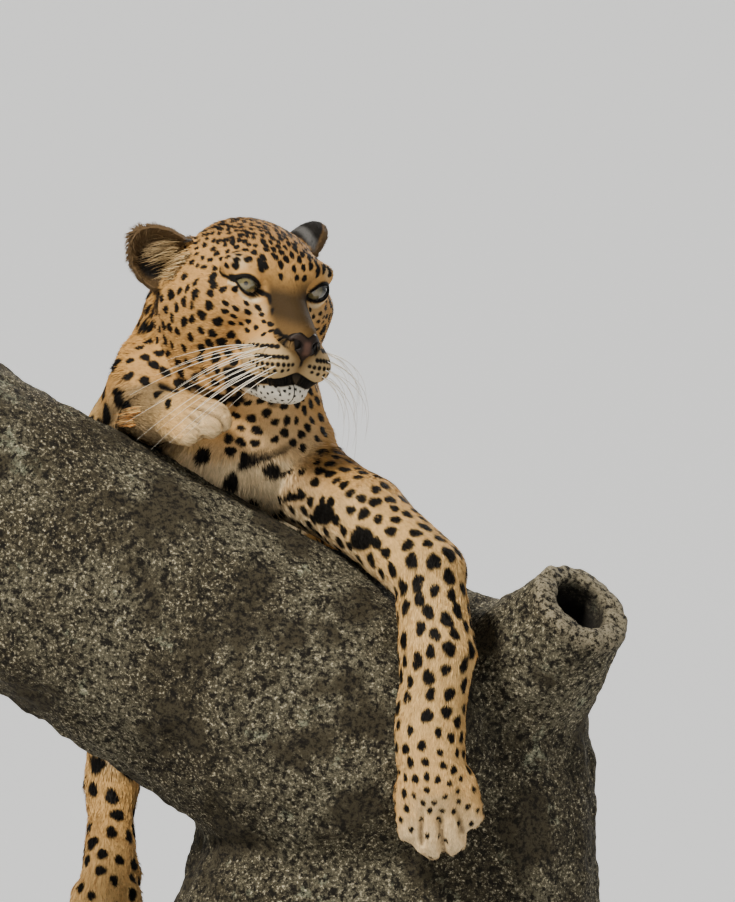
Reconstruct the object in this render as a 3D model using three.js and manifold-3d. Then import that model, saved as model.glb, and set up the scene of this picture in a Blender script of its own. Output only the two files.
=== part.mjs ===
// A life-size leopard resting in the fork of a tree, on a display stand.
// Millimetres, +Z up. The animal faces -Y, its left side is towards +X, and the origin is the middle of the
// underside of the stand's base.
//
// Flesh and wood are soft shapes (balls, tapered bones and lofts) that run into one another. Each named
// piece is a closed skin: rings of rays cast from a spine inside those shapes, out to their surface.
import * as THREE from "three";
import { mergeVertices } from "three/addons/utils/BufferGeometryUtils.js";
import Module from "manifold-3d";

const wasm = await Module();
wasm.setup();

// Driving dimensions
const GAP = 0.3;
const BASE = { width: 680, depth: 900, height: 30, corner: 55, bevel: 4 };
const ROD = { radius: 17, flange: 44, flangeHeight: 7, height: 70, atX: [10, 230], atY: -285 };
// The animal and its perch are laid out in a frame of their own, which is then set on the stand.
const SET_DOWN = [0, -330, -50];
const TRUNK_FOOT = BASE.height + ROD.height - SET_DOWN[2];

// The head has its own frame: x forward, y to the animal's left, z up, origin in the middle of the skull.
const HEAD = {
  yaw: 30,
  pitch: 18,
  roll: 1.5,
  eyesAt: [9.5, -40, 844],
  eye: { x: 46, y: 40, z: 28, radius: 15.5, lid: 3, toed: 14 },
  back: [-56, 0, 6],
};

// Joints of each limb, from the trunk of the body outwards.
const FORELEG = {
  left: {
    joints: [[34, 76, 652], [100, -8, 604], [165, -92, 538], [174, -114, 455], [165, -114, 362]],
    radii: [50, 43, 42, 38, 33],
    tip: [180, -114, 244],
    back: [0, -1, 0.05],
    pawSize: 1,
  },
  right: {
    joints: [[-122, 66, 742], [-150, 130, 704], [-172, 185, 672], [-150, 96, 694], [-120, -8, 711]],
    radii: [56, 50, 42, 34, 23],
    tip: [-52, -58, 702],
    back: [0, -0.62, 0.78],
    pawSize: 0.78,
  },
};
const HINDLEG = {
  right: [
    [-104, 690, 690], [-148, 622, 622], [-176, 560, 552],
    [-190, 604, 452], [-196, 642, 352], [-196, 590, 262],
  ],
  left: [
    [2, 690, 688], [54, 630, 622], [94, 590, 552],
    [120, 644, 452], [128, 690, 352], [132, 642, 262],
  ],
};
const HIND_RADII = [84, 74, 54, 37, 28, 24];
const HIND_TIP = { right: [-200, 530, 132], left: [138, 588, 136] };
const TAIL = {
  line: [
    [-44, 790, 735], [-46, 870, 732], [-50, 945, 668], [-56, 978, 550], [-62, 985, 420], [-62, 978, 300],
    [-50, 955, 222], [-20, 920, 196],
  ],
  rootRadius: 32,
  tipRadius: 21,
};

// Oval sections of the trunk of the body from breast to rump: middle, half width and half height.
const BODY = [
  { y: 4, x: -44, z: 712, w: 58, h: 62 },
  { y: 70, x: -58, z: 722, w: 96, h: 110 },
  { y: 160, x: -64, z: 735, w: 110, h: 133 },
  { y: 300, x: -62, z: 722, w: 115, h: 130 },
  { y: 480, x: -56, z: 706, w: 103, h: 110 },
  { y: 640, x: -50, z: 712, w: 102, h: 114 },
  { y: 770, x: -46, z: 712, w: 88, h: 96 },
  { y: 842, x: -45, z: 712, w: 60, h: 70 },
  { y: 880, x: -45, z: 722, w: 26, h: 32 },
];

// The fork: a trunk, a bough that rises to the animal's right, a limb under its belly and a hollow stub.
const WOOD = {
  trunkFoot: [108, 70, 60],
  trunkTop: [150, 62, 352],
  trunkWide: [262, 196],
  trunkSquash: 0.62,
  boughHeel: [196, 52, 262],
  boughHeelRadius: 92,
  boughRoot: [92, 30, 371],
  boughEnd: [-430, 20, 684],
  boughRadius: [163, 150],
  boughSquash: 0.92,
  limbRoot: [8, 60, 480],
  limbEnd: [-46, 880, 500],
  limbRadius: [116, 98],
  stubRoot: [252, 34, 428],
  stubFace: [326, -62, 511],
  stubRadius: [92, 44],
  hollow: { radius: 32, depth: 62 },
};

const { hypot } = Math;
const mix = (a, b, t) => a + (b - a) * t;
const clamp = (v, lo, hi) => Math.min(hi, Math.max(lo, v));
const radians = THREE.MathUtils.degToRad;
const moved = (frame, p) => new THREE.Vector3(...p).applyMatrix4(frame).toArray();
const turned = (frame, d) => new THREE.Vector3(...d).transformDirection(frame).toArray();
const along = (a, b, t) => a.map((v, i) => mix(v, b[i], t));

// Soft shapes: functions of a point that give a rough distance, negative inside.
const ball = ([cx, cy, cz], [rx, ry, rz]) => ([x, y, z]) => {
  const dx = x - cx;
  const dy = y - cy;
  const dz = z - cz;
  const near = hypot(dx / rx, dy / ry, dz / rz);
  const steep = hypot(dx / rx ** 2, dy / ry ** 2, dz / rz ** 2) || 1e-9;
  return (near * (near - 1)) / steep;
};

const bone = (a, b, ra, rb) => {
  const d = b.map((v, i) => v - a[i]);
  const length2 = d[0] ** 2 + d[1] ** 2 + d[2] ** 2;
  return ([x, y, z]) => {
    const far = ((x - a[0]) * d[0] + (y - a[1]) * d[1] + (z - a[2]) * d[2]) / length2;
    const t = clamp(far, 0, 1);
    return hypot(x - a[0] - t * d[0], y - a[1] - t * d[1], z - a[2] - t * d[2]) - mix(ra, rb, t);
  };
};

// A bone pressed flat along Y.
const flatBone = (a, b, ra, rb, squash) => {
  const press = (p) => [p[0], p[1] / squash, p[2]];
  const inner = bone(press(a), press(b), ra, rb);
  return (p) => inner(press(p)) * squash;
};

function softMin(a, b, soft) {
  const h = clamp(0.5 + (0.5 * (b - a)) / soft, 0, 1);
  return mix(b, a, h) - soft * h * (1 - h);
}

// Shapes that flow into one another over about `soft` millimetres.
const blend = (soft, ...shapes) => (p) => {
  let d = shapes[0](p);
  for (let i = 1; i < shapes.length; i++) d = softMin(d, shapes[i](p), soft);
  return d;
};

const dented = (soft, shape, dent) => (p) => -softMin(-shape(p), dent(p), soft);

const bothSides = (make) => {
  const pair = [make(1), make(-1)];
  return (p) => Math.min(pair[0](p), pair[1](p));
};

// A shape drawn in a frame of its own, read from outside that frame.
const placed = (frame, shape) => {
  const e = frame.clone().invert().elements;
  return ([x, y, z]) =>
    shape([
      e[0] * x + e[4] * y + e[8] * z + e[12],
      e[1] * x + e[5] * y + e[9] * z + e[13],
      e[2] * x + e[6] * y + e[10] * z + e[14],
    ]);
};

// A smooth run through oval sections set along Y.
function loftAlongY(sections) {
  const last = sections.length - 1;
  const value = (key, y) => {
    let i = 0;
    while (i < last - 1 && y > sections[i + 1].y) i++;
    const [a, b] = [sections[i], sections[i + 1]];
    const t = clamp((y - a.y) / (b.y - a.y), 0, 1);
    const slope = (j) => {
      const [p, q] = [sections[Math.max(0, j - 1)], sections[Math.min(last, j + 1)]];
      return ((q[key] - p[key]) / (q.y - p.y)) * (b.y - a.y);
    };
    const s = 3 * t ** 2 - 2 * t ** 3;
    return mix(a[key], b[key], s) + (t ** 3 - 2 * t ** 2 + t) * slope(i) + (t ** 3 - t ** 2) * slope(i + 1);
  };
  return ([x, y, z]) => {
    const w = value("w", y);
    const h = value("h", y);
    const around = (hypot((x - value("x", y)) / w, (z - value("z", y)) / h) - 1) * Math.min(w, h);
    const beyond = Math.max(sections[0].y - y, y - sections[last].y);
    return beyond > 0 ? hypot(Math.max(around, 0), beyond) : Math.max(around, beyond);
  };
}

const limb = (soft, joints, radii) =>
  blend(soft, ...joints.slice(1).map((b, i) => bone(joints[i], b, radii[i], radii[i + 1])));

// A closed mesh made into a solid that can be cut and joined.
function solid(geometry) {
  const bare = geometry.clone();
  bare.deleteAttribute("normal");
  bare.deleteAttribute("uv");
  const merged = mergeVertices(bare, 1e-3);
  const vertProperties = new Float32Array(merged.attributes.position.array);
  const triVerts = new Uint32Array(merged.index.array);
  const made = new wasm.Manifold(new wasm.Mesh({ numProp: 3, vertProperties, triVerts }));
  if (made.volume() >= 0) return made;
  for (let i = 0; i < triVerts.length; i += 3) {
    [triVerts[i + 1], triVerts[i + 2]] = [triVerts[i + 2], triVerts[i + 1]];
  }
  return new wasm.Manifold(new wasm.Mesh({ numProp: 3, vertProperties, triVerts }));
}

function rayLength(shape, from, dir, reach) {
  let t = 0;
  for (let i = 0; i < 80; i++) {
    const d = shape([from.x + dir.x * t, from.y + dir.y * t, from.z + dir.z * t]);
    t -= d * 0.8;
    if (Math.abs(d) < 0.02 || t > reach) break;
  }
  return clamp(t, 0.5, reach);
}

const splineOf = (points) =>
  new THREE.CatmullRomCurve3(points.map((p) => new THREE.Vector3(...p)), false, "centripetal");

// A closed skin round a stretch of a spine. `ends` says how it stops at each end: "flat" across the spine or
// "round" out to the surface.
function skin(shape, spine, options) {
  const {
    rings, sides, span = [0, 1], ends = ["flat", "flat"], capRings = 4, reach = 420, side = [1, 0, 0],
  } = options;
  const curve = splineOf(spine);
  const ring = (t, lean) => {
    const at = curve.getPoint(t);
    const ahead = curve.getTangent(t).normalize();
    const across = new THREE.Vector3(...side);
    across.addScaledVector(ahead, -across.dot(ahead)).normalize();
    const up = new THREE.Vector3().crossVectors(across, ahead);
    return Array.from({ length: sides }, (_, i) => {
      const turn = (2 * Math.PI * i) / sides;
      const dir = across.clone().multiplyScalar(Math.cos(turn)).addScaledVector(up, Math.sin(turn));
      dir.multiplyScalar(Math.cos(lean)).addScaledVector(ahead, Math.sin(lean));
      return at.clone().addScaledVector(dir, rayLength(shape, at, dir, reach));
    });
  };
  const middle = (points) => {
    const sum = points.reduce((s, p) => s.add(p), new THREE.Vector3());
    return sum.divideScalar(points.length);
  };
  const pole = (t, sign) => {
    const at = curve.getPoint(t);
    const dir = curve.getTangent(t).normalize().multiplyScalar(sign);
    return at.clone().addScaledVector(dir, rayLength(shape, at, dir, reach));
  };
  const lean = (i) => (Math.PI / 2) * (i / (capRings + 1));
  const list = [];
  if (ends[0] === "round") for (let i = capRings; i > 0; i--) list.push(ring(span[0], -lean(i)));
  for (let i = 0; i <= rings; i++) list.push(ring(mix(span[0], span[1], i / rings), 0));
  if (ends[1] === "round") for (let i = 1; i <= capRings; i++) list.push(ring(span[1], lean(i)));

  const points = list.flat();
  const index = [];
  for (let r = 0; r < list.length - 1; r++) {
    for (let i = 0; i < sides; i++) {
      const j = (i + 1) % sides;
      const [a, b, c, d] = [r * sides + i, r * sides + j, (r + 1) * sides + i, (r + 1) * sides + j];
      index.push(a, b, d, a, d, c);
    }
  }
  const first = points.push(ends[0] === "round" ? pole(span[0], -1) : middle(list[0])) - 1;
  const final = points.push(ends[1] === "round" ? pole(span[1], 1) : middle(list.at(-1))) - 1;
  const lastRing = (list.length - 1) * sides;
  for (let i = 0; i < sides; i++) {
    const j = (i + 1) % sides;
    index.push(first, j, i);
    index.push(final, lastRing + i, lastRing + j);
  }
  const geometry = new THREE.BufferGeometry();
  geometry.setAttribute("position", new THREE.Float32BufferAttribute(points.flatMap((p) => p.toArray()), 3));
  geometry.setIndex(index);
  return solid(geometry);
}

function geometryOf(body) {
  const { numProp, numVert, vertProperties, triVerts } = body.getMesh();
  const positions = new Float32Array(numVert * 3);
  for (let i = 0; i < numVert; i++) {
    positions.set(vertProperties.subarray(i * numProp, i * numProp + 3), i * 3);
  }
  const geometry = new THREE.BufferGeometry();
  geometry.setAttribute("position", new THREE.BufferAttribute(positions, 3));
  geometry.setIndex(new THREE.BufferAttribute(new Uint32Array(triVerts), 1));
  geometry.computeVertexNormals();
  return geometry;
}

// The same solid, a gap larger all round: what is cut by it stays clear of the solid.
function grown(body) {
  const geometry = geometryOf(body);
  const positions = geometry.attributes.position.array;
  const normals = geometry.attributes.normal.array;
  for (let i = 0; i < positions.length; i++) positions[i] += normals[i] * GAP * 1.3;
  return solid(geometry);
}

// Skins of the lengths of one spine, parted at `cuts` with a gap between neighbours.
function lengths(shape, spine, cuts, options) {
  const gap = (GAP * 1.2) / splineOf(spine).getLength();
  return options.map((each, i) => {
    const start = i === 0 ? cuts[0] : cuts[i] + gap;
    return skin(shape, spine, { ...each, span: [start, cuts[i + 1]] });
  });
}

function ovalBall(centre, radii, frame, detail = [20, 14]) {
  const geometry = new THREE.SphereGeometry(1, ...detail);
  geometry.scale(...radii);
  geometry.translate(...centre);
  geometry.applyMatrix4(frame);
  return solid(geometry);
}

const cut = (body, ...cutters) => cutters.reduce((left, cutter) => left.subtract(cutter), body);
const largest = (body) => body.decompose().reduce((best, b) => (b.volume() > best.volume() ? b : best));

// Wood, with slow swellings in its bark.
const wrinkle = ([x, y, z], size) => {
  const slow = Math.sin(x / 41 + 1.3) * Math.sin(y / 37 + z / 53);
  const quick = Math.sin(x / 19 + z / 23) * Math.sin(y / 21 + 0.7);
  return size * (slow + 0.6 * quick);
};
const rough = (size, shape) => (p) => shape(p) + wrinkle(p, size);
const { trunkFoot, trunkTop, boughHeel, boughRoot, boughEnd, limbRoot, limbEnd, stubRoot, stubFace } = WOOD;
const boughShape = blend(
  40,
  flatBone(boughRoot, boughEnd, ...WOOD.boughRadius, WOOD.boughSquash),
  flatBone(boughHeel, boughRoot, WOOD.boughHeelRadius, WOOD.boughRadius[0], WOOD.boughSquash),
);
const stubShape = bone(stubRoot, along(stubRoot, stubFace, 1.3), ...WOOD.stubRadius);
const trunkShape = flatBone(trunkFoot, trunkTop, ...WOOD.trunkWide, WOOD.trunkSquash);
const limbShape = bone(limbRoot, limbEnd, ...WOOD.limbRadius);

function wood() {
  const [x, y] = along(trunkFoot, trunkTop, 0.5);
  const trunkSpine = [[x, y, TRUNK_FOOT], [x, y, trunkTop[2] - 8]];
  return {
    trunk: skin(rough(3.2, trunkShape), trunkSpine, {
      rings: 6, sides: 24, ends: ["flat", "round"], capRings: 4, reach: 300,
    }),
    bough: skin(rough(3.6, boughShape), [boughHeel, boughRoot, along(boughRoot, boughEnd, 0.96)], {
      rings: 9, sides: 20, ends: ["round", "flat"], capRings: 3, side: [0, 1, 0],
    }),
    limb: skin(rough(3, limbShape), [limbRoot, along(limbRoot, limbEnd, 0.92)], { rings: 8, sides: 18 }),
    stub: skin(rough(1.4, stubShape), [stubRoot, stubFace], { rings: 4, sides: 18, side: [0, 0, 1] }),
  };
}

function hollow() {
  const { radius, depth } = WOOD.hollow;
  const profile = [[0, -depth], [radius * 0.5, -depth], [radius * 0.9, -depth * 0.6], [radius, 12], [0, 12]];
  const geometry = new THREE.LatheGeometry(profile.map((p) => new THREE.Vector2(...p)), 18);
  const axis = new THREE.Vector3(...stubFace).sub(new THREE.Vector3(...stubRoot)).normalize();
  const turn = new THREE.Quaternion().setFromUnitVectors(new THREE.Vector3(0, 1, 0), axis);
  return solid(geometry.applyQuaternion(turn).translate(...stubFace));
}

// Head
const headFrame = (() => {
  const facing = new THREE.Matrix4().makeBasis(
    new THREE.Vector3(0, -1, 0),
    new THREE.Vector3(1, 0, 0),
    new THREE.Vector3(0, 0, 1),
  );
  const frame = new THREE.Matrix4()
    .makeRotationY(radians(HEAD.roll))
    .multiply(new THREE.Matrix4().makeRotationZ(radians(HEAD.yaw)))
    .multiply(facing)
    .multiply(new THREE.Matrix4().makeRotationY(radians(HEAD.pitch)));
  const eyes = new THREE.Vector3(HEAD.eye.x, 0, HEAD.eye.z).applyMatrix4(frame);
  return frame.setPosition(...HEAD.eyesAt.map((v, i) => v - eyes.getComponent(i)));
})();
const inHead = (p) => moved(headFrame, p);

const headLocal = (() => {
  const { x, y, z, radius, lid } = HEAD.eye;
  const skull = blend(
    22,
    ball([-24, 0, 30], [80, 67, 57]),
    ball([24, 0, 34], [50, 50, 42]),
    bothSides((s) => ball([-6, s * 44, -14], [56, 42, 54])),
    bothSides((s) => ball([-34, s * 50, -12], [42, 38, 54])),
  );
  const muzzle = blend(
    14,
    bone([40, 0, -14], [92, 0, -28], 44, 33),
    bone([46, 0, 26], [114, 0, -9], 24, 14),
    bothSides((s) => ball([90, s * 23, -43], [36, 26, 23])),
    bothSides((s) => bone([-12, s * 46, -58], [84, s * 12, -70], 26, 18)),
    ball([100, 0, -72], [21, 23, 15]),
  );
  const brows = bothSides((s) => bone([52, s * 24, 46], [38, s * 54, 43], 13, 12));
  const cheekbones = bothSides((s) => bone([50, s * 40, 4], [16, s * 64, 4], 15, 18));
  const whole = blend(16, skull, muzzle, brows, cheekbones);
  const socketed = dented(9, whole, bothSides((s) => ball([70, s * 42, 28], [19, 17, 13])));
  const lids = bothSides((s) => ball([x, s * y, z], [radius + lid, radius + lid, radius + lid]));
  return blend(4, socketed, lids, ball([117, 0, -20], [13, 20, 13]));
})();
const nape = blend(
  30,
  bone([-62, 190, 762], [-58, 112, 812], 106, 82),
  bone([-58, 112, 812], [-44, 44, 836], 82, 66),
  bone([-50, 90, 735], [-26, 26, 792], 88, 64),
);
const headShape = blend(24, placed(headFrame, headLocal), nape);
const leftOfHead = turned(headFrame, [0, 1, 0]);

const headSpine = [
  [-62, 210, 752], [-62, 156, 800], inHead([-104, 0, -4]),
  ...[HEAD.back, [-10, 0, 8], [45, 0, -12], [88, 0, -34]].map(inHead),
];
const headStart = 0.5;
const headSkin = skin(headShape, headSpine, {
  rings: 19, sides: 38, span: [headStart, 1], ends: ["flat", "round"], capRings: 7, side: leftOfHead,
});
const neckSkin = skin(headShape, headSpine, {
  rings: 8, sides: 24, span: [0, headStart - 0.0009], ends: ["round", "flat"], capRings: 3, side: leftOfHead,
});

// Eyes: a ball in a socket, seen through an opening between the lids.
function eye(s) {
  const { x, y, z, radius, toed } = HEAD.eye;
  const gaze = new THREE.Vector3(Math.cos(radians(toed)), s * Math.sin(radians(toed)), 0);
  const up = new THREE.Vector3(0, 0, 1);
  const outward = new THREE.Vector3().crossVectors(up, gaze).multiplyScalar(s);
  const opening = new THREE.Shape();
  opening.moveTo(-14.5, -4.5);
  opening.quadraticCurveTo(-4, 9, 13.5, 3.5);
  opening.quadraticCurveTo(3, -10, -14.5, -4.5);
  const slit = new THREE.ExtrudeGeometry(opening, { depth: 40, bevelEnabled: false, curveSegments: 6 });
  slit.applyMatrix4(new THREE.Matrix4().makeBasis(outward, up, gaze).setPosition(x, s * y, z));
  slit.applyMatrix4(headFrame);
  const round = (r) => ovalBall([x, s * y, z], [r, r, r], headFrame, [14, 9]);
  return { slit: solid(slit), eyeball: round(radius), socket: round(radius + GAP) };
}

// A line pressed into the head: a thin tube along points that are first laid on its surface.
function groove(points, radius, steps) {
  const nudge = 0.5;
  const laid = points.map((p) => {
    const q = [...p];
    for (let i = 0; i < 12; i++) {
      const d = headLocal(q);
      const slope = q.map((v, k) => (headLocal(q.with(k, v + nudge)) - d) / nudge);
      const steep = hypot(...slope) || 1;
      for (let k = 0; k < 3; k++) q[k] -= (slope[k] / steep) * d * 0.8;
    }
    return new THREE.Vector3(...q);
  });
  const section = new THREE.Shape();
  section.absarc(0, 0, radius, 0, 2 * Math.PI);
  const extrudePath = new THREE.CatmullRomCurve3(laid);
  const tube = new THREE.ExtrudeGeometry(section, {
    steps, extrudePath, bevelEnabled: false, curveSegments: 3,
  });
  return solid(tube.applyMatrix4(headFrame));
}

function headPiece(eyes) {
  const half = [[58, 45, -66], [80, 42, -64], [100, 29, -61], [115, 11, -57]];
  const mirror = half.map(([x, y, z]) => [x, -y, z]).reverse();
  const mouth = groove([...half, [121, 0, -53], ...mirror], 2.6, 26);
  const philtrum = groove([[129, 0, -34], [127, 0, -44], [121, 0, -53]], 2, 4);
  const nostrils = [-1, 1].map((s) => ovalBall([129, s * 11, -20], [9, 5.5, 4], headFrame, [10, 6]));
  const openings = Object.values(eyes).flatMap((e) => [e.slit, e.socket]);
  return cut(headSkin, ...openings, mouth, philtrum, ...nostrils);
}

// An ear is a cup: `tip` is the way it points and `open` the way its hollow faces.
const EARS = {
  right: {
    base: [-46, -64, 20], tip: [-0.62, -0.72, 0.3], open: [0.82, -0.5, 0.15], size: [37, 23, 46],
    nick: [[-23, 72], [-16.5, 72], [-16, 46]],
  },
  left: { base: [-32, 54, 46], tip: [-0.12, 0.6, 0.78], open: [0.02, 0.93, -0.3], size: [28, 19, 36] },
};
function ear({ base, tip, open, size, nick }) {
  const z = new THREE.Vector3(...tip).normalize();
  const y = new THREE.Vector3(...open);
  y.addScaledVector(z, -y.dot(z)).normalize();
  const x = new THREE.Vector3().crossVectors(y, z);
  const frame = headFrame.clone().multiply(new THREE.Matrix4().makeBasis(x, y, z).setPosition(...base));
  const [w, d, h] = size;
  const outer = ovalBall([0, 0, h * 0.42], [w, d, h], frame, [16, 9]);
  const inner = ovalBall([0, d * 0.5, h * 0.46], [w * 0.88, d * 1.22, h * 0.86], frame, [16, 9]);
  const cup = outer.subtract(inner);
  if (!nick) return cup;
  const notch = new THREE.Shape(nick.map((p) => new THREE.Vector2(...p)));
  const wedge = new THREE.ExtrudeGeometry(notch, { depth: 80, bevelEnabled: false });
  wedge.translate(0, 0, -40);
  wedge.rotateX(Math.PI / 2);
  return cup.subtract(solid(wedge.applyMatrix4(frame)));
}

// Trunk of the body, with the shoulder blades and the points of the shoulders.
const torso = blend(
  34,
  loftAlongY(BODY),
  bone([-98, 190, 832], [-126, 85, 742], 30, 54),
  bone([-26, 190, 832], [0, 88, 735], 30, 40),
  bone([0, 88, 735], [26, 74, 668], 40, 48),
);
const torsoSpine = [60, 160, 320, 480, 640, 800].map((y) => {
  const near = BODY.reduce((best, s) => (Math.abs(s.y - y) < Math.abs(best.y - y) ? s : best));
  return [near.x, y, near.z];
});

// A paw in its own frame: x to the toes, y to the outer side of a left paw, z out of its back.
const TOES = [
  { root: [48, -27, 2], tip: [84, -31, -9], radius: 14.5 },
  { root: [56, -10, 5], tip: [103, -10, -7], radius: 15.5 },
  { root: [54, 10, 5], tip: [100, 12, -7], radius: 15.5 },
  { root: [44, 28, 2], tip: [77, 34, -9], radius: 14.5 },
];
function pawLocal(size, side, wristRadius) {
  const palm = blend(
    12,
    bone([-30, 0, 0], [40, 0, 2], wristRadius, 33),
    ball([48, 0, -4], [30, 42, 22]),
    ball([52, 0, -18], [26, 30, 14]),
    bone([2, -24, -6], [18, -35, -12], 11, 9),
  );
  const whole = blend(5, palm, ...TOES.map((t) => bone(t.root, t.tip, t.radius + 1.5, t.radius)));
  return ([x, y, z]) => whole([x / size, (y * side) / size, z / size]) * size;
}
function pawFrame(from, tip, back) {
  const x = new THREE.Vector3(...tip).sub(new THREE.Vector3(...from)).normalize();
  const z = new THREE.Vector3(...back);
  z.addScaledVector(x, -z.dot(x)).normalize();
  const y = new THREE.Vector3().crossVectors(z, x);
  return new THREE.Matrix4().makeBasis(x, y, z).setPosition(...from);
}

// The upper arm is a piece of its own. The forearm and paw are lengths of one spine that starts inside it.
function foreleg(sideName) {
  const { joints, radii, tip, back, pawSize } = FORELEG[sideName];
  const frame = pawFrame(joints.at(-1), tip, back);
  const side = sideName === "left" ? 1 : -1;
  const paw = placed(frame, pawLocal(pawSize, side, radii.at(-1) / pawSize));
  const upperShape = limb(20, joints.slice(0, 3), radii.slice(0, 3));
  const lowerShape = blend(16, limb(20, joints.slice(2), [radii[2] * 0.94, ...radii.slice(3)]), paw);
  const inPaw = (x, z) => moved(frame, [x * pawSize, 0, z * pawSize]);
  const across = turned(frame, [0, 1, 0]);
  const upper = skin(upperShape, joints.slice(0, 3), {
    rings: 6, sides: 18, ends: ["round", "round"], side: [0.2, 0.1, 1],
  });
  const spine = [...joints.slice(2), inPaw(30, 0), inPaw(58, -3)];
  const [lower, hand] = lengths(lowerShape, spine, [0, 0.5, 1], [
    { rings: 6, sides: 18, ends: ["round", "flat"], capRings: 3, side: across },
    { rings: 5, sides: 28, ends: ["flat", "round"], capRings: 6, side: across },
  ]);
  return { upper, lower: cut(lower, grown(upper)), paw: cut(hand, grown(lower)) };
}

function hindleg(sideName) {
  const joints = HINDLEG[sideName];
  const [hip, , knee, , hock, heel] = joints;
  const frame = pawFrame(heel, HIND_TIP[sideName], [0, -1, 0.42]);
  const side = sideName === "left" ? 1 : -1;
  const paw = placed(frame, pawLocal(0.96, side, 26));
  const hams = bone([hip[0] + side * 6, hip[1] + 66, hip[2] - 14], along(knee, hock, 0.16), 60, 36);
  const front = bone([hip[0] + side * 8, hip[1] - 46, hip[2] + 4], knee, 62, 52);
  const thighShape = blend(26, limb(26, joints.slice(0, 3), HIND_RADII), hams, front);
  const shankShape = blend(18, limb(20, joints.slice(2), [44, ...HIND_RADII.slice(3)]), paw);
  const thigh = skin(thighShape, joints.slice(0, 3), { rings: 6, sides: 18, ends: ["round", "round"] });
  const spine = [...joints.slice(2), moved(frame, [34, 0, 0]), moved(frame, [58, 0, -3])];
  const [shank, foot] = lengths(shankShape, spine, [0, 2 / 5, 1], [
    { rings: 6, sides: 14, ends: ["round", "flat"], capRings: 3 },
    { rings: 7, sides: 18, ends: ["flat", "round"] },
  ]);
  return { thigh, shank: cut(shank, grown(thigh)), paw: cut(foot, grown(shank)) };
}

function tail() {
  const curve = splineOf(TAIL.line);
  const steps = 36;
  const tuft = (t) => 3 * Math.max(0, t - 0.6);
  const radius = (t) => mix(TAIL.rootRadius, TAIL.tipRadius, Math.min(1, t * 1.5)) + tuft(t);
  const shape = blend(
    3,
    ...Array.from({ length: steps }, (_, i) => {
      const [t, u] = [i / steps, (i + 1) / steps];
      return bone(curve.getPoint(t).toArray(), curve.getPoint(u).toArray(), radius(t), radius(u));
    }),
  );
  const each = { rings: 8, sides: 14, capRings: 3 };
  return lengths(shape, TAIL.line, [0, 0.36, 0.68, 1], [each, each, { ...each, ends: ["flat", "round"] }]);
}

// The named pieces
const group = new THREE.Group();
const set = new THREE.Group();
set.position.set(...SET_DOWN);
group.add(set);

const COAT = { color: 0xc09660, roughness: 0.85, metalness: 0 };
const IRIS = { color: 0x9c9a72, roughness: 0.1, metalness: 0 };
const BARK = { color: 0x6d6459, roughness: 0.95, metalness: 0 };
const STAND = { color: 0x3a3c3f, roughness: 0.45, metalness: 0.6 };

function add(name, body, material, parent = set) {
  const mesh = new THREE.Mesh(geometryOf(largest(body)), new THREE.MeshStandardMaterial(material));
  mesh.name = name;
  parent.add(mesh);
}

const perch = wood();
const clear = Object.fromEntries(Object.entries(perch).map(([name, body]) => [name, grown(body)]));
const clearOfPerch = Object.values(clear).reduce((a, b) => a.add(b));
const eyes = { right: eye(-1), left: eye(1) };
const torsoWhole = skin(torso, torsoSpine, { rings: 14, sides: 22, ends: ["round", "round"] });
const [torsoFront, torsoRear] = lengths(torso, torsoSpine, [0, 0.5, 1], [
  { rings: 7, sides: 22, ends: ["round", "flat"] },
  { rings: 7, sides: 22, ends: ["flat", "round"] },
]);
const clearOfHead = grown(headSkin);
const clearOfNeck = grown(neckSkin);
const clearOfTorso = grown(torsoWhole);

add("head", cut(headPiece(eyes), clearOfPerch), COAT);
for (const side of ["right", "left"]) {
  add(`eye_${side}`, eyes[side].eyeball, IRIS);
  add(`ear_${side}`, cut(ear(EARS[side]), clearOfHead, clearOfNeck, neckSkin), COAT);
}
add("neck", cut(neckSkin, clearOfHead, clearOfTorso, clearOfPerch), COAT);
add("torso_front", cut(torsoFront, clearOfHead, clearOfPerch), COAT);
add("torso_rear", cut(torsoRear, clearOfPerch), COAT);

const clearOfBody = [clearOfTorso, clearOfNeck, neckSkin, clearOfHead, clearOfPerch];
for (const side of ["left", "right"]) {
  for (const [kind, parts] of [["foreleg", foreleg(side)], ["hindleg", hindleg(side)]]) {
    for (const [part, body] of Object.entries(parts)) {
      add(`${kind}_${side}_${part}`, cut(body, ...clearOfBody), COAT);
    }
  }
}
const [tailRoot, tailMiddle, tailTip] = tail();
add("tail_root", cut(tailRoot, clearOfTorso), COAT);
add("tail_middle", tailMiddle, COAT);
add("tail_tip", tailTip, COAT);

add("perch_trunk", perch.trunk, BARK);
add("perch_bough", cut(perch.bough, clear.trunk), BARK);
add("perch_limb", cut(perch.limb, clear.trunk, clear.bough), BARK);
add("perch_stub", cut(perch.stub, hollow(), clear.trunk, clear.bough), BARK);

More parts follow.
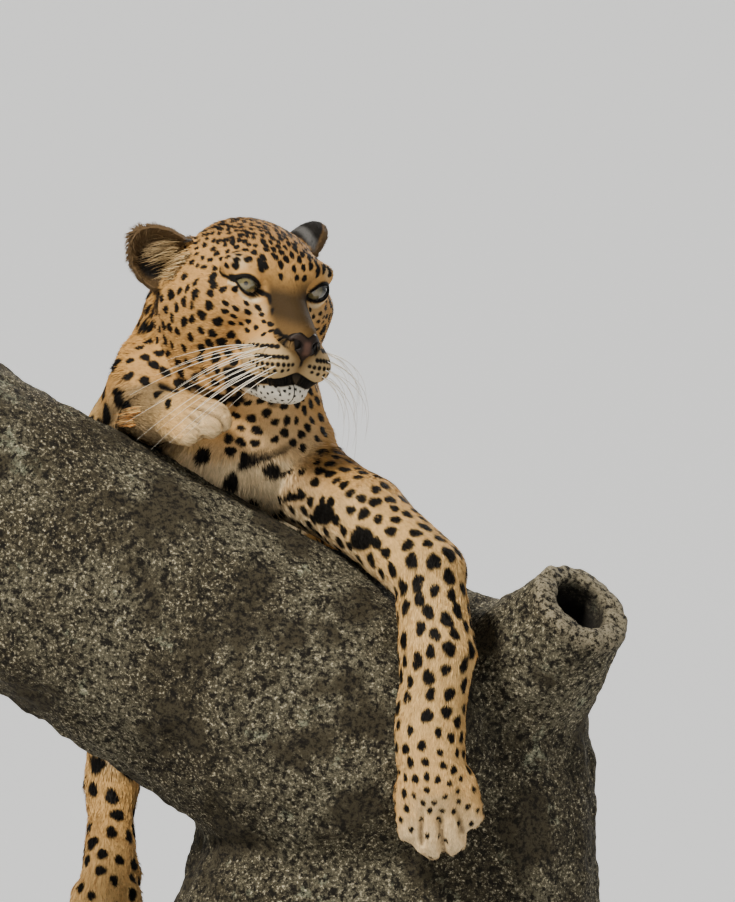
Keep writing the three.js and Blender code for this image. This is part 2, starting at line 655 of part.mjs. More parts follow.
function plate() {
  const { width, depth, height, corner, bevel } = BASE;
  const [w, d] = [width / 2 - bevel, depth / 2 - bevel];
  const outline = new THREE.Shape();
  outline.absarc(w - corner, d - corner, corner, 0, Math.PI / 2);
  outline.absarc(corner - w, d - corner, corner, Math.PI / 2, Math.PI);
  outline.absarc(corner - w, corner - d, corner, Math.PI, 1.5 * Math.PI);
  outline.absarc(w - corner, corner - d, corner, 1.5 * Math.PI, 2 * Math.PI);
  const geometry = new THREE.ExtrudeGeometry(outline, {
    depth: height - 2 * bevel, bevelThickness: bevel, bevelSize: bevel, bevelSegments: 1, curveSegments: 5,
  });
  return solid(geometry.translate(0, 0, bevel));
}
function rod(x) {
  const { radius, flange, flangeHeight, height, atY } = ROD;
  const top = height - GAP;
  const foot = [[0, GAP], [flange, GAP], [flange, flangeHeight], [radius, flangeHeight + 2]];
  const profile = [...foot, [radius, top], [0, top]];
  const geometry = new THREE.LatheGeometry(profile.map((p) => new THREE.Vector2(...p)), 20);
  return solid(geometry.rotateX(Math.PI / 2).translate(x, atY, BASE.height));
}
add("stand_base", plate(), STAND, group);
add("stand_rod_right", rod(ROD.atX[0]), STAND, group);
add("stand_rod_left", rod(ROD.atX[1]), STAND, group);

export default group;
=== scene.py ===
import math

import bmesh
import bpy
import numpy as np
from mathutils import Matrix, Vector, noise
from mathutils.kdtree import KDTree


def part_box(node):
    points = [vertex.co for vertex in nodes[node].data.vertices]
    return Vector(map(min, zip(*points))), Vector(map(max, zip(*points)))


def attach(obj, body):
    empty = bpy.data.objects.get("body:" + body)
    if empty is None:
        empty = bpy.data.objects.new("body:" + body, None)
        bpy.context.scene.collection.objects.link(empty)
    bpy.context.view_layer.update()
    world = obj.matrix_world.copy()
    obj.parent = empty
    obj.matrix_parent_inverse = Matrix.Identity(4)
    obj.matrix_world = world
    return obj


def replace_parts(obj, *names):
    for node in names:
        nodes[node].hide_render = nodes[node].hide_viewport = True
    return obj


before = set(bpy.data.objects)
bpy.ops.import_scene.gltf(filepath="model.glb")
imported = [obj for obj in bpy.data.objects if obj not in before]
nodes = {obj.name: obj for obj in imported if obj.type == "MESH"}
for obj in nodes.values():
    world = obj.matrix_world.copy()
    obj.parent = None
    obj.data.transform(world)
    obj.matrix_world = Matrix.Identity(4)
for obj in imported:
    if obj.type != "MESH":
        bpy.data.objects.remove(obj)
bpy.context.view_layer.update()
rng = np.random.default_rng(7)


def report(text):
    print("leopard:", text)


def placed(name, data):
    obj = bpy.data.objects.new(name, data)
    bpy.context.scene.collection.objects.link(obj)
    return obj


# Camera
view = {"place": (0.102, -5.8, 0.05), "lookUp": 6.0, "sensor": 36, "lens": 209.08}


def makeCamera():
    data = bpy.data.cameras.new("camera")
    data.sensor_width = view["sensor"]
    data.lens = view["lens"]
    cam = placed("camera", data)
    cam.location = view["place"]
    cam.rotation_euler = (math.radians(90 + view["lookUp"]), 0, 0)
    bpy.context.scene.camera = cam


makeCamera()


# Small helpers for meshes
def shown(mesh, name, material):
    obj = placed(name, mesh)
    mesh.materials.clear()
    mesh.materials.append(material)
    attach(obj, "root")
    return obj


def coords(mesh):
    co = np.empty(len(mesh.vertices) * 3)
    mesh.vertices.foreach_get("co", co)
    return co.reshape(-1, 3)


def setCoords(mesh, co):
    mesh.vertices.foreach_set("co", co.ravel())
    mesh.update()


def normals(mesh):
    out = np.empty(len(mesh.vertices) * 3)
    mesh.vertex_normals.foreach_get("vector", out)
    return out.reshape(-1, 3)


def norm(v):
    return np.linalg.norm(v, axis=1)


def shadeSmooth(mesh):
    mesh.polygons.foreach_set("use_smooth", [True] * len(mesh.polygons))


def meshFrom(edit, name):
    mesh = bpy.data.meshes.new(name)
    edit.to_mesh(mesh)
    edit.free()
    return mesh


def treeOf(points):
    tree = KDTree(len(points))
    for i, point in enumerate(points):
        tree.insert(point, i)
    tree.balance()
    return tree


def fromNode(p, name):
    # how far points are from the middle of a CAD node's box, and the length of the box's diagonal
    low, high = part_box(name)
    return norm(p - np.array((low + high) / 2)), (high - low).length


def edgePairs(mesh):
    pairs = np.empty(len(mesh.edges) * 2, dtype=np.int32)
    mesh.edges.foreach_get("vertices", pairs)
    return pairs.reshape(-1, 2)


def relax(mesh, times, amount=None):
    # slow smoothing, full where amount is 1
    co, pairs = coords(mesh), edgePairs(mesh)
    a, b = pairs.T
    count = np.bincount(a, minlength=len(co)) + np.bincount(b, minlength=len(co))
    count = np.maximum(count, 1)[:, None]
    share = (0.5 if amount is None else amount[:, None] * 0.5)
    for _ in range(times):
        near = np.stack([
            np.bincount(a, co[b, k], minlength=len(co)) + np.bincount(b, co[a, k], minlength=len(co))
            for k in range(3)
        ], axis=1) / count
        co += (near - co) * share
    setCoords(mesh, co)


def copyOf(names, swell):
    # copies of CAD nodes, each swollen a little so that neighbours overlap
    whole = bmesh.new()
    for name in names:
        part = bmesh.new()
        part.from_mesh(nodes[name].data)
        bmesh.ops.remove_doubles(part, verts=part.verts, dist=1e-6)
        part.normal_update()
        size = swell.get(name, swell["all"])
        for v in part.verts:
            v.co += v.normal * size
        mesh = meshFrom(part, "part")
        whole.from_mesh(mesh)
        bpy.data.meshes.remove(mesh)
    return meshFrom(whole, "copy")


def settled(obj):
    # the mesh that a helper object ends up with; the object goes
    deps = bpy.context.evaluated_depsgraph_get()
    mesh = bpy.data.meshes.new_from_object(obj.evaluated_get(deps))
    bpy.data.objects.remove(obj)
    return mesh


def fused(mesh, voxel):
    # one closed surface round everything in the mesh
    obj = placed("fusing", mesh)
    remesh = obj.modifiers.new("fuse", "REMESH")
    remesh.mode = "VOXEL"
    remesh.voxel_size = voxel
    return settled(obj)


def thinned(mesh, ratio, weights):
    # fewer faces where the weights are high
    obj = placed("thinning", mesh)
    group = obj.vertex_groups.new(name="thin")
    for level in range(11):
        chosen = np.nonzero(np.round(weights * 10).astype(int) == level)[0]
        if level and len(chosen):
            group.add(chosen.tolist(), level / 10, "REPLACE")
    decimate = obj.modifiers.new("thin", "DECIMATE")
    decimate.ratio = ratio
    decimate.vertex_group = "thin"
    decimate.vertex_group_factor = 1
    return settled(obj)


# Head: its own frame in millimetres, x forward, y to the animal's left, z up
head = {
    "yaw": 30, "pitch": 18, "roll": 1.5, "eyesAt": (9.5, -370, 794),
    "eye": (46, 40, 28), "eyeRadius": 15.5, "toed": 14, "lid": 2.6, "coat": 1.6,
    "faceEdge": (-28, 8), "chinLow": -100, "nudge": 0.4, "rounds": 14,
}
eyeAt = np.array(head["eye"], float)


def headMatrix():
    facing = Matrix(((0, 1, 0), (-1, 0, 0), (0, 0, 1))).to_4x4()
    turn = (
        Matrix.Rotation(math.radians(head["roll"]), 4, "Y")
        @ Matrix.Rotation(math.radians(head["yaw"]), 4, "Z")
        @ facing
        @ Matrix.Rotation(math.radians(head["pitch"]), 4, "Y")
    )
    x, _, z = head["eye"]
    return Matrix.Translation(Vector(head["eyesAt"]) - turn @ Vector((x, 0, z))) @ turn


headFrame = headMatrix()
headTurn = np.array(headFrame.to_3x3())
headOrigin = np.array(headFrame.translation)


def toHead(p):
    return (p * 1000 - headOrigin) @ headTurn


def fromHead(q):
    return (q @ headTurn.T + headOrigin) / 1000


def ball(p, centre, radii):
    d = p - np.array(centre, float)
    r = np.array(radii, float)
    near = np.sqrt(((d / r) ** 2).sum(1))
    steep = np.sqrt(((d / r**2) ** 2).sum(1)) + 1e-9
    return near * (near - 1) / steep


def bone(p, a, b, ra, rb):
    a, b = np.array(a, float), np.array(b, float)
    d = b - a
    t = np.clip(((p - a) @ d) / (d @ d), 0, 1)
    return norm(p - a - t[:, None] * d) - (ra + (rb - ra) * t)


def softMin(a, b, soft):
    h = np.clip(0.5 + 0.5 * (b - a) / soft, 0, 1)
    return b + (a - b) * h - soft * h * (1 - h)


def blend(soft, *fields):
    out = fields[0]
    for field in fields[1:]:
        out = softMin(out, field, soft)
    return out


def dented(soft, field, dent):
    return -softMin(-field, dent, soft)


def step(value, low, high):
    t = np.clip((value - low) / (high - low), 0, 1)
    return t * t * (3 - 2 * t)


def besideLine(p, line):
    # distance to a run of points, and how far along it the nearest place is
    best, where = np.full(len(p), 1e9), np.zeros(len(p))
    line = np.array(line, float)
    for i in range(len(line) - 1):
        d = line[i + 1] - line[i]
        t = np.clip(((p - line[i]) @ d) / (d @ d), 0, 1)
        far = norm(p - line[i] - t[:, None] * d)
        near = far < best
        best[near], where[near] = far[near], (i + t[near]) / (len(line) - 1)
    return best, where


mouthLine = [(56, 41, -74), (74, 39, -68), (92, 34, -64), (106, 29, -61), (113, 16, -60), (117, 0, -55)]
eyeSlit = {"inner": (-17.0, -7.5), "top": (-4, 15.5), "outer": (14.5, 4.0), "bottom": (2, -15)}


def mirrored(p):
    return np.column_stack([p[:, 0], np.abs(p[:, 1]), p[:, 2]])


def eyeAxes():
    # of the left eye: outwards, up and along the gaze
    toed = math.radians(head["toed"])
    gaze = np.array((math.cos(toed), math.sin(toed), 0))
    up = np.array((0, 0, 1.0))
    return np.cross(up, gaze), up, gaze


def slitDistance(m):
    # rough distance to the rim of the eye's opening, negative inside it; m is mirrored to the left side
    outwards, up, gaze = eyeAxes()
    d = m - eyeAt
    u, v, w = d @ outwards, d @ up, d @ gaze
    t = np.linspace(0, 1, 25)

    def curve(mid):
        a, b, c = (np.array(eyeSlit[k]) for k in ("inner", mid, "outer"))
        return ((1 - t) ** 2)[:, None] * a + (2 * t * (1 - t))[:, None] * b + (t**2)[:, None] * c

    top, bottom = curve("top"), curve("bottom")
    high = np.interp(u, top[:, 0], top[:, 1])
    low = np.interp(u, bottom[:, 0], bottom[:, 1])
    beside = np.maximum(eyeSlit["inner"][0] - u, u - eyeSlit["outer"][0])
    rim = np.maximum(np.maximum(v - high, low - v) * 0.85, beside)
    return np.where(w > 0, rim, 40), w


def nostril(m, radii, front, back):
    wing = bone(m, (121, 19, -19), (106, 26, -13), front, back)
    return blend(2, ball(m, (127, 12.5, -19), radii), wing)


def headField(p):
    m = mirrored(p)
    x, y, z = head["eye"]
    skull = blend(
        22,
        ball(p, (-24, 0, 30), (80, 67, 57)),
        ball(p, (24, 0, 34), (50, 50, 42)),
        ball(m, (-6, 44, -14), (56, 42, 54)),
        ball(m, (-34, 50, -12), (42, 38, 54)),
    )
    muzzle = blend(
        14,
        bone(p, (40, 0, -14), (92, 0, -28), 44, 33),
        bone(p, (46, 0, 26), (114, 0, -9), 24, 14),
        ball(m, (90, 23, -43), (36, 26, 23)),
        bone(m, (-12, 46, -58), (84, 12, -70), 26, 18),
        ball(p, (100, 0, -72), (21, 23, 15)),
    )
    brows = bone(m, (52, 24, 46), (38, 54, 43), 13, 12)
    cheeks = bone(m, (50, 40, 4), (16, 64, 4), 15, 18)
    whole = blend(16, skull, muzzle, brows, cheeks)
    whole = dented(9, whole, ball(m, (70, 42, 28), (19, 17, 13)))
    lid = head["eyeRadius"] + head["lid"] + head["coat"]
    whole = blend(4, whole, ball(m, (x, y, z), (lid, lid, lid)), ball(p, (117, 0, -20), (13, 20, 13)))
    # mouth, parting under the nose, nostrils
    gap, _ = besideLine(m, mouthLine)
    whole = dented(1.6, whole, gap - 3.2)
    whole = dented(2, whole, bone(p, (131, 0, -30), (122, 0, -52), 1.8, 1.8))
    return dented(1.5, whole, nostril(m, (9, 5.6, 4.0), 2.6, 1.6))


def sculptHead(co):
    # points on the front of the head move onto the head's own form, less the depth of its coat
    q = toHead(co)
    weight = step(q[:, 0], *head["faceEdge"]) * step(150 - np.abs(q[:, 2]), 0, 20)
    weight *= (np.abs(q[:, 1]) < 95) * (q[:, 2] > head["chinLow"])
    near = np.nonzero(weight > 0)[0]
    place = q[near]
    sure = step(9 - np.abs(headField(place)), 0, 4)
    for _ in range(head["rounds"]):
        d = headField(place) + head["coat"]
        beside = [headField(place + move) + head["coat"] for move in np.eye(3) * head["nudge"]]
        slope = np.stack([(value - d) / head["nudge"] for value in beside], axis=1)
        steep = np.maximum((slope**2).sum(1), 0.3)
        place = place - slope * (np.clip(d, -3, 3) / steep * 0.75)[:, None]
    # the opening between the lids drops to just under the eyeball's surface
    rim, depth = slitDistance(mirrored(place))
    for side in (-1, 1):
        x, y, z = head["eye"]
        fromEye = place - np.array((x, side * y, z))
        far = norm(fromEye)
        inside = step(-rim, -0.2, 0.7) * (depth > 0) * (far < 26)
        sunk = np.array((x, side * y, z)) + fromEye / far[:, None] * (head["eyeRadius"] - 3.0)
        place = place + (sunk - place) * inside[:, None]
    out = co.copy()
    w = (weight[near] * sure)[:, None]
    out[near] = fromHead(q[near] + (place - q[near]) * w)
    return out


# Paws: where each one starts, its tip, the way its back faces, its size and its side
paws = {
    "foreleg_left_paw": ((165, -444, 312), (180, -444, 194), (0, -1, 0.05), 1.0, 1),
    "foreleg_right_paw": ((-120, -338, 661), (-52, -388, 652), (0, -0.62, 0.78), 0.78, -1),
    "hindleg_left_paw": ((132, 312, 212), (138, 258, 86), (0, -1, 0.42), 0.96, 1),
    "hindleg_right_paw": ((-196, 260, 212), (-200, 200, 82), (0, -1, 0.42), 0.96, -1),
}
toes = {"lines": [(-31, 84), (-10, 103), (12, 100), (34, 77)], "cleft": 4.2, "pad": 1.6}


def pawPlace(p, name):
    start, tip, back, size, side = paws[name]
    ahead = Vector(tip) - Vector(start)
    ahead.normalize()
    up = Vector(back)
    up -= ahead * up.dot(ahead)
    up.normalize()
    across = up.cross(ahead)
    axes = np.array([ahead, across, up])
    return ((p * 1000 - np.array(start, float)) @ axes.T) / size * np.array((1, side, 1))


def cleftDepth(v):
    # how near a point of a paw is to the clefts between its toes, 0 to 1
    out = np.zeros(len(v))
    for (ya, xa), (yb, xb) in zip(toes["lines"], toes["lines"][1:]):
        reach = min(xa, xb) + 14
        slant = (ya + yb) / 2 * (0.72 + 0.28 * np.clip((v[:, 0] - 50) / 45, 0, 1))
        away = np.abs(v[:, 1] - slant)
        near = step(4.6 - away, 0, 4.6) * step(v[:, 0], 62, 84)
        out = np.maximum(out, near * step(reach + 6 - v[:, 0], 0, 4))
    return out


def toeRelief(co):
    out = np.zeros(len(co))
    for name in paws:
        v = pawPlace(co, name)
        inside = (np.abs(v[:, 1]) < 62) & (v[:, 0] > 30) & (v[:, 0] < 135) & (np.abs(v[:, 2]) < 45)
        k = np.nonzero(inside)[0]
        near = cleftDepth(v[k])
        swell = np.zeros(len(k))
        for y, x in toes["lines"]:
            swell = np.maximum(swell, step(15 - np.hypot(v[k, 1] - y, (v[k, 0] - x + 10) * 0.6), 0, 13))
        out[k] = (swell * toes["pad"] - near * toes["cleft"]) * paws[name][3] / 1000
    return out


def shapeEar(co):
    # the right ear's top edge is straight and its corner drawn out, as seen from the front
    low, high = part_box("ear_right")
    middle = np.array((low + high) / 2)
    near = step((high - low).length * 0.64 - norm(co - middle), 0, 0.022)
    near *= step(headField(toHead(co)), 2, 12)
    u = (co[:, 0] - middle[0]) / (high[0] - low[0]) * 2
    v = (co[:, 2] - middle[2]) / (high[2] - low[2]) * 2
    top = step(v, -0.1, 0.9)
    shift = np.zeros_like(co)
    shift[:, 2] = (-u * 0.0075 - 0.001) * top + 0.002 * step(-u, 0.4, 1) * top
    shift[:, 0] = -0.004 * step(-u, 0.0, 0.9) * step(v, 0.0, 0.8)
    return co + shift * near[:, None]


# Skin
skin = {"voxel": 0.0025, "thin": 0.28, "smooth": 10, "inset": 0.0032, "pawInset": 0.0016}


def buildSkin():
    flesh = [n for n in nodes if not n.startswith(("perch", "stand"))]
    swell = {"all": 0.0009, "ear_left": 0.0012, "ear_right": 0.0012, "eye_left": 0.0034, "eye_right": 0.0034}
    mesh = fused(copyOf(flesh, swell), skin["voxel"])
    co = coords(mesh)
    q = toHead(co)
    fine = step(q[:, 0], -110, -60) * step(norm(q), 190, 150)
    for paw in paws:
        far, size = fromNode(co, paw)
        fine = np.maximum(fine, step(far, size / 2 * 1.15, size / 2 * 0.95))
    ears = np.zeros(len(co))
    for ear in ("ear_left", "ear_right"):
        far, size = fromNode(co, ear)
        ears = np.maximum(ears, step(far, size * 0.62, size * 0.5))
    relax(mesh, skin["smooth"], amount=(1 - 0.75 * fine) * (1 - 0.93 * ears))
    ahead = 1 - 0.75 * step(co[:, 1], -0.15, -0.21)
    mesh = thinned(mesh, skin["thin"], np.clip(1 - fine, 0.0, 1) * ahead)
    report(f"skin of {len(mesh.polygons)} faces")
    # finer faces on the front of the head
    edit = bmesh.new()
    edit.from_mesh(mesh)
    front = set()
    for v in edit.verts:
        if v.co.y < -0.29 and v.co.z > 0.64:
            q = toHead(np.array(v.co)[None])[0]
            if q[0] > 14 and abs(q[1]) < 70 and q[2] > -95:
                front.add(v)
    edges = [e for e in edit.edges if e.verts[0] in front and e.verts[1] in front]
    bmesh.ops.subdivide_edges(edit, edges=edges, cuts=1, use_grid_fill=True)
    bmesh.ops.triangulate(edit, faces=[f for f in edit.faces if len(f.verts) > 4])
    edit.to_mesh(mesh)
    edit.free()
    setCoords(mesh, shapeEar(sculptHead(coords(mesh))))
    setCoords(mesh, coords(mesh) + normals(mesh) * toeRelief(coords(mesh))[:, None])
    return mesh


def inset(mesh, depthOf):
    co = coords(mesh)
    setCoords(mesh, co - normals(mesh) * depthOf(co)[:, None])


def skinInset(co):
    # how far the skin lies under the tips of the coat, beyond what the sculpted face already has
    q = toHead(co)
    face = step(q[:, 0], *head["faceEdge"]) * (q[:, 2] > head["chinLow"]) * (norm(q) < 170)
    ear = step(headField(q), 3, 6) * step(norm(q), 175, 160) * (q[:, 0] > -90)
    depth = np.full(len(co), skin["inset"])
    for paw in paws:
        far, size = fromNode(co, paw)
        depth -= skin["pawInset"] * step(far, size * 0.6, size * 0.45)
    return depth * (1 - face) * (1 - 0.75 * ear)


skinMesh = buildSkin()
report(f"skin of {len(skinMesh.polygons)} faces with the face")


# Lie of the coat: each bone of the body gives a direction, from the body outwards
lines = {
    "forelegLeft": ([
        (34, -254, 602), (100, -338, 554), (165, -422, 488),
        (174, -444, 405), (165, -444, 312), (180, -444, 194),
    ], 42),
    "forelegRight": ([(-122, -264, 692), (-150, -200, 654), (-172, -145, 622)], 50),
    "foldedRight": ([(-172, -145, 622), (-150, -234, 644), (-120, -338, 661), (-52, -388, 652)], 34),
    "hindRight": ([
        (-104, 360, 640), (-176, 230, 502), (-190, 274, 402),
        (-196, 312, 302), (-196, 260, 212), (-200, 200, 82),
    ], 60),
    "hindLeft": ([
        (2, 360, 638), (94, 260, 502), (120, 314, 402),
        (128, 360, 302), (132, 312, 212), (138, 258, 86),
    ], 60),
    "tail": ([
        (-46, 500, 676), (-50, 615, 618), (-56, 648, 500), (-62, 655, 370),
        (-62, 648, 250), (-50, 625, 172), (-20, 590, 146),
    ], 28),
    "body": ([(-44, -250, 690), (-60, -100, 690), (-58, 120, 668), (-48, 330, 662), (-45, 520, 660)], 118),
    "neck": ([(-40, -300, 770), (-58, -218, 745), (-62, -120, 712)], 84),
}


def placeInBody(p):
    # for each line: distance in units of its thickness, how far along, and its direction there
    out = {}
    for name, (line, thick) in lines.items():
        line = np.array(line, float) / 1000
        far, where = besideLine(p, line)
        i = np.minimum((where * (len(line) - 1)).astype(int), len(line) - 2)
        ahead = line[i + 1] - line[i]
        ahead /= norm(ahead)[:, None]
        out[name] = (far / (thick / 1000), where, ahead)
    return out


def bodyParts(p):
    # distance to each line, how far along it, and the name of the nearest line
    parts = placeInBody(p)
    far = {k: v[0] for k, v in parts.items()}
    where = {k: v[1] for k, v in parts.items()}
    return far, where, np.array(list(far))[np.argmin(np.stack(list(far.values())), axis=0)]


def smoothNoise(p, size, seed):
    # slow waves without a grain, about -1 to 1
    q = p / size + seed * 7.13
    x, y, z = q[:, 0], q[:, 1], q[:, 2]
    a = np.sin(x * 1.7 + 1.3 * np.sin(y * 1.1 + seed)) * np.cos(z * 1.5 + np.sin(x * 0.9))
    b = np.sin(y * 2.3 + z * 1.9 + np.cos(x * 1.3 + seed))
    return 0.6 * a + 0.4 * b


def lieOf(p, n):
    parts = placeInBody(p)
    total = np.zeros_like(p)
    for far, _, ahead in parts.values():
        total += ahead / (far[:, None] ** 4 + 0.02)
    total /= norm(total)[:, None] + 1e-9
    # the coat of the body and legs also hangs a little
    total[:, 2] -= 0.25
    q = toHead(p)
    away = q - np.array((112, 0, -16.0))
    away[:, 1] *= 1.15
    away /= norm(away)[:, None] + 1e-9
    back = np.array((-1.0, 0, -0.15))
    onHead = step(q[:, 0], -95, -40) * step(norm(q), 165, 135)
    mixBack = step(q[:, 0], 30, -60)[:, None]
    faceLie = (away * (1 - mixBack) + back * mixBack) @ headTurn.T
    total = total * (1 - onHead[:, None]) + faceLie * onHead[:, None]
    total += 0.16 * np.stack([smoothNoise(p, 0.03, s) for s in (1, 2, 3)], axis=1)
    total -= n * (total * n).sum(1)[:, None]
    return total / (norm(total)[:, None] + 1e-9)


def triangles(mesh):
    mesh.calc_loop_triangles()
    tri = np.empty(len(mesh.loop_triangles) * 3, dtype=np.int32)
    mesh.loop_triangles.foreach_get("vertices", tri)
    return tri.reshape(-1, 3)


class Surface:
    # the skin as arrays, for scattering spots and tufts over it
    def __init__(self, mesh):
        self.co = coords(mesh)
        self.normal = normals(mesh)
        self.tri = triangles(mesh)
        a, b, c = (self.co[self.tri[:, k]] for k in range(3))
        self.area = norm(np.cross(b - a, c - a)) / 2
        self.middle = (a + b + c) / 3

    def scatter(self, count, weight=None):
        share = self.area if weight is None else self.area * weight
        pick = rng.choice(len(share), count, p=share / share.sum())
        u, v = rng.random(count), rng.random(count)
        over = u + v > 1
        u[over], v[over] = 1 - u[over], 1 - v[over]
        bary = np.stack([1 - u - v, u, v], axis=1)
        place = (self.co[self.tri[pick]] * bary[:, :, None]).sum(1)
        n = (self.normal[self.tri[pick]] * bary[:, :, None]).sum(1)
        n /= norm(n)[:, None] + 1e-9
        return place, n, pick, bary

    def unwrappedNear(self, places):
        # where points lie on the unwrap of the skin
        if not hasattr(self, "tree"):
            self.tree = treeOf(self.middle)
        return np.array([self.unwrapped[self.tree.find(p)[1]].mean(0) for p in places])


# Markings: spots are scattered as far apart as each part of the body has them
spots = {
    "candidates": 120000, "soft": 0.16, "chestPlane": -0.33,
    "bare": 200, "widest": 150,  # a spacing for no spots, and the widest that still has some
    "bigOnArm": [(56, 559, 12), (96, 533, 13)],
    "necklace": [
        ([(42, 659), (31, 640), (10, 625), (-31, 611)], 4.2),
        ([(-2, 630), (-21, 620)], 3.0),
        ([(21, 659), (10, 646)], 2.4),
        ([(5, 664), (-8, 649), (-16, 643)], 3.4),
        ([(21, 604), (0, 600)], 3.2),
        ([(34, 578), (16, 576)], 4.4),
        ([(-63, 693), (-31, 675)], 4.6),
        ([(-160, 688), (-149, 667)], 5.0),
        # the last three: black blotches with painted shade between them, in the shaded gap between the jaw
        # and the folded paw
        ([(-112, 695), (-99, 692)], 6.0),
        ([(-86, 692), (-80, 689)], 4.6),
        ([(-66, 687), (-42, 681)], 6.0),
    ],
}


def fromFront(p):
    # a point carried onto the upright plane through the chest, as seen from straight in front, in millimetres
    eyeX, eyeY, eyeZ = view["place"]
    t = (spots["chestPlane"] - eyeY) / (p[:, 1] - eyeY)
    return np.stack([eyeX + (p[:, 0] - eyeX) * t, eyeZ + (p[:, 2] - eyeZ) * t], axis=1) * 1000


def spotPlan(p, n):
    # spacing, half length along the coat, half width across it, and how much of a ring each spot is
    far, where, best = bodyParts(p)
    q = toHead(p)
    x, z, side = q[:, 0], q[:, 2], mirrored(q)[:, 1]
    size, bare = len(p), spots["bare"]
    space, length, width, ring = np.full(size, 40.0), np.full(size, 11.0), np.full(size, 9.0), np.zeros(size)

    def put(mask, s, a, b, r=0.0):
        space[mask] = np.broadcast_to(s, size)[mask]
        length[mask] = np.broadcast_to(a, size)[mask]
        width[mask] = np.broadcast_to(b, size)[mask]
        ring[mask] = np.broadcast_to(r, size)[mask]

    put(best == "body", 44, 21, 19, 1.0)
    put((best == "body") & (n[:, 2] > 0.6), 40, 19, 14, 1.0)
    put((best == "body") & (n[:, 2] > 0.93), 34, 13, 7)
    put((best == "body") & (n[:, 2] < -0.55), 44, 15, 12)
    put((best == "body") & (p[:, 1] < -0.16), 30, 10, 8)
    put(best == "neck", 17, 10.5, 5.8)
    w, stops = where["forelegLeft"], [0, 0.2, 0.4, 0.7, 0.85, 1]
    put(
        best == "forelegLeft",
        np.interp(w, [0, 0.2, 0.4, 0.75, 0.84, 0.93, 1], [13.5, 15, 17.2, 17.2, 12, 11, 26]),
        np.interp(w, stops, [5.4, 6.6, 8.4, 7.6, 4.4, 2.4]),
        np.interp(w, stops, [5.0, 5.6, 6.2, 5.8, 3.6, 2.0]),
    )
    put(best == "forelegRight", 24, 10.5, 8.5)
    put(best == "foldedRight", np.interp(where["foldedRight"], [0, 0.6, 0.7], [18, 18, bare]), 5.2, 4.0)
    stops, hind = [0, 0.35, 0.6, 0.8, 1], ([40, 34, 28, 21, 13], [16, 13, 11, 8, 3.6], [14, 11, 9, 6.5, 3])
    for leg in ("hindRight", "hindLeft"):
        put(best == leg, *(np.interp(where[leg], stops, values) for values in hind))
    w = where["tail"]
    put(best == "tail", np.interp(w, [0, 0.4, 1], [27, 26, 28]), 9, np.interp(w, [0, 0.5, 1], [9, 12, 16]))
    inHead = (x > -82) & (norm(q) < 165) & (far["foldedRight"] > 1.25)
    put(inHead, 12.9, 4.6, 5.2)
    put(inHead & (x < -20), 15, 6.0, 4.8)
    put(inHead & (z > 30), 9.8, 4.2, 3.2)
    put(inHead & (z > 58), 7.4, 4.6, 3.0)
    put(inHead & (x > 48) & (side > 18) & (z < 12) & (z > -20), 8.6, 3.9, 2.6)
    # none on the whisker pads, the bridge and round the eyes; the finest on the chin
    put(inHead & (x > 66) & (z < -18) & (z > -58), bare, 1, 1)
    put(inHead & (x > 42) & (side < 25) & (z > -12) & (z < 42), bare, 1, 1)
    put(inHead & (side < 54) & (side > 22) & (x > 40) & (z > 11) & (z < 50), bare, 1, 1)
    put(inHead & (x > 74) & (z < -58), 6.0, 1.5, 1.4)
    return space, length, width, ring


def scatterSpots(surface):
    q = toHead(surface.middle)
    place, n, _, _ = surface.scatter(spots["candidates"], 1 + 6 * (norm(q) < 150))
    space, length, width, ring = spotPlan(place, n)
    kept = []
    free = np.ones(len(place), bool)
    order = np.argsort(rng.random(len(place)))
    reach = space / 1000
    place32 = place.astype(np.float32)
    cells = {}
    coarse = 0.05
    beside = [(a, b, c) for a in (-1, 0, 1) for b in (-1, 0, 1) for c in (-1, 0, 1)]
    keys = np.floor(place / coarse).astype(int)
    for i, key in enumerate(map(tuple, keys)):
        cells.setdefault(key, []).append(i)
    cells = {k: np.array(v) for k, v in cells.items()}
    for i in order:
        if not free[i] or space[i] > spots["widest"]:
            continue
        kept.append(i)
        kx, ky, kz = keys[i]
        around = [(kx + a, ky + b, kz + c) for a, b, c in beside]
        near = np.concatenate([cells[cell] for cell in around if cell in cells])
        gap = norm(place32[near] - place32[i])
        free[near[(gap < np.maximum(reach[i], reach[near]) * 0.97) & (n[near] @ n[i] > 0)]] = False
    kept = np.array(kept)
    sizes = rng.uniform(0.82, 1.18, len(kept))
    lie = lieOf(place[kept], n[kept])
    return {
        "place": place[kept], "normal": n[kept], "lie": lie, "across": np.cross(n[kept], lie),
        "length": length[kept] * sizes / 1000, "width": width[kept] * sizes / 1000, "ring": ring[kept],
        "phase": rng.random((len(kept), 3)) * 2 * math.pi,
    }


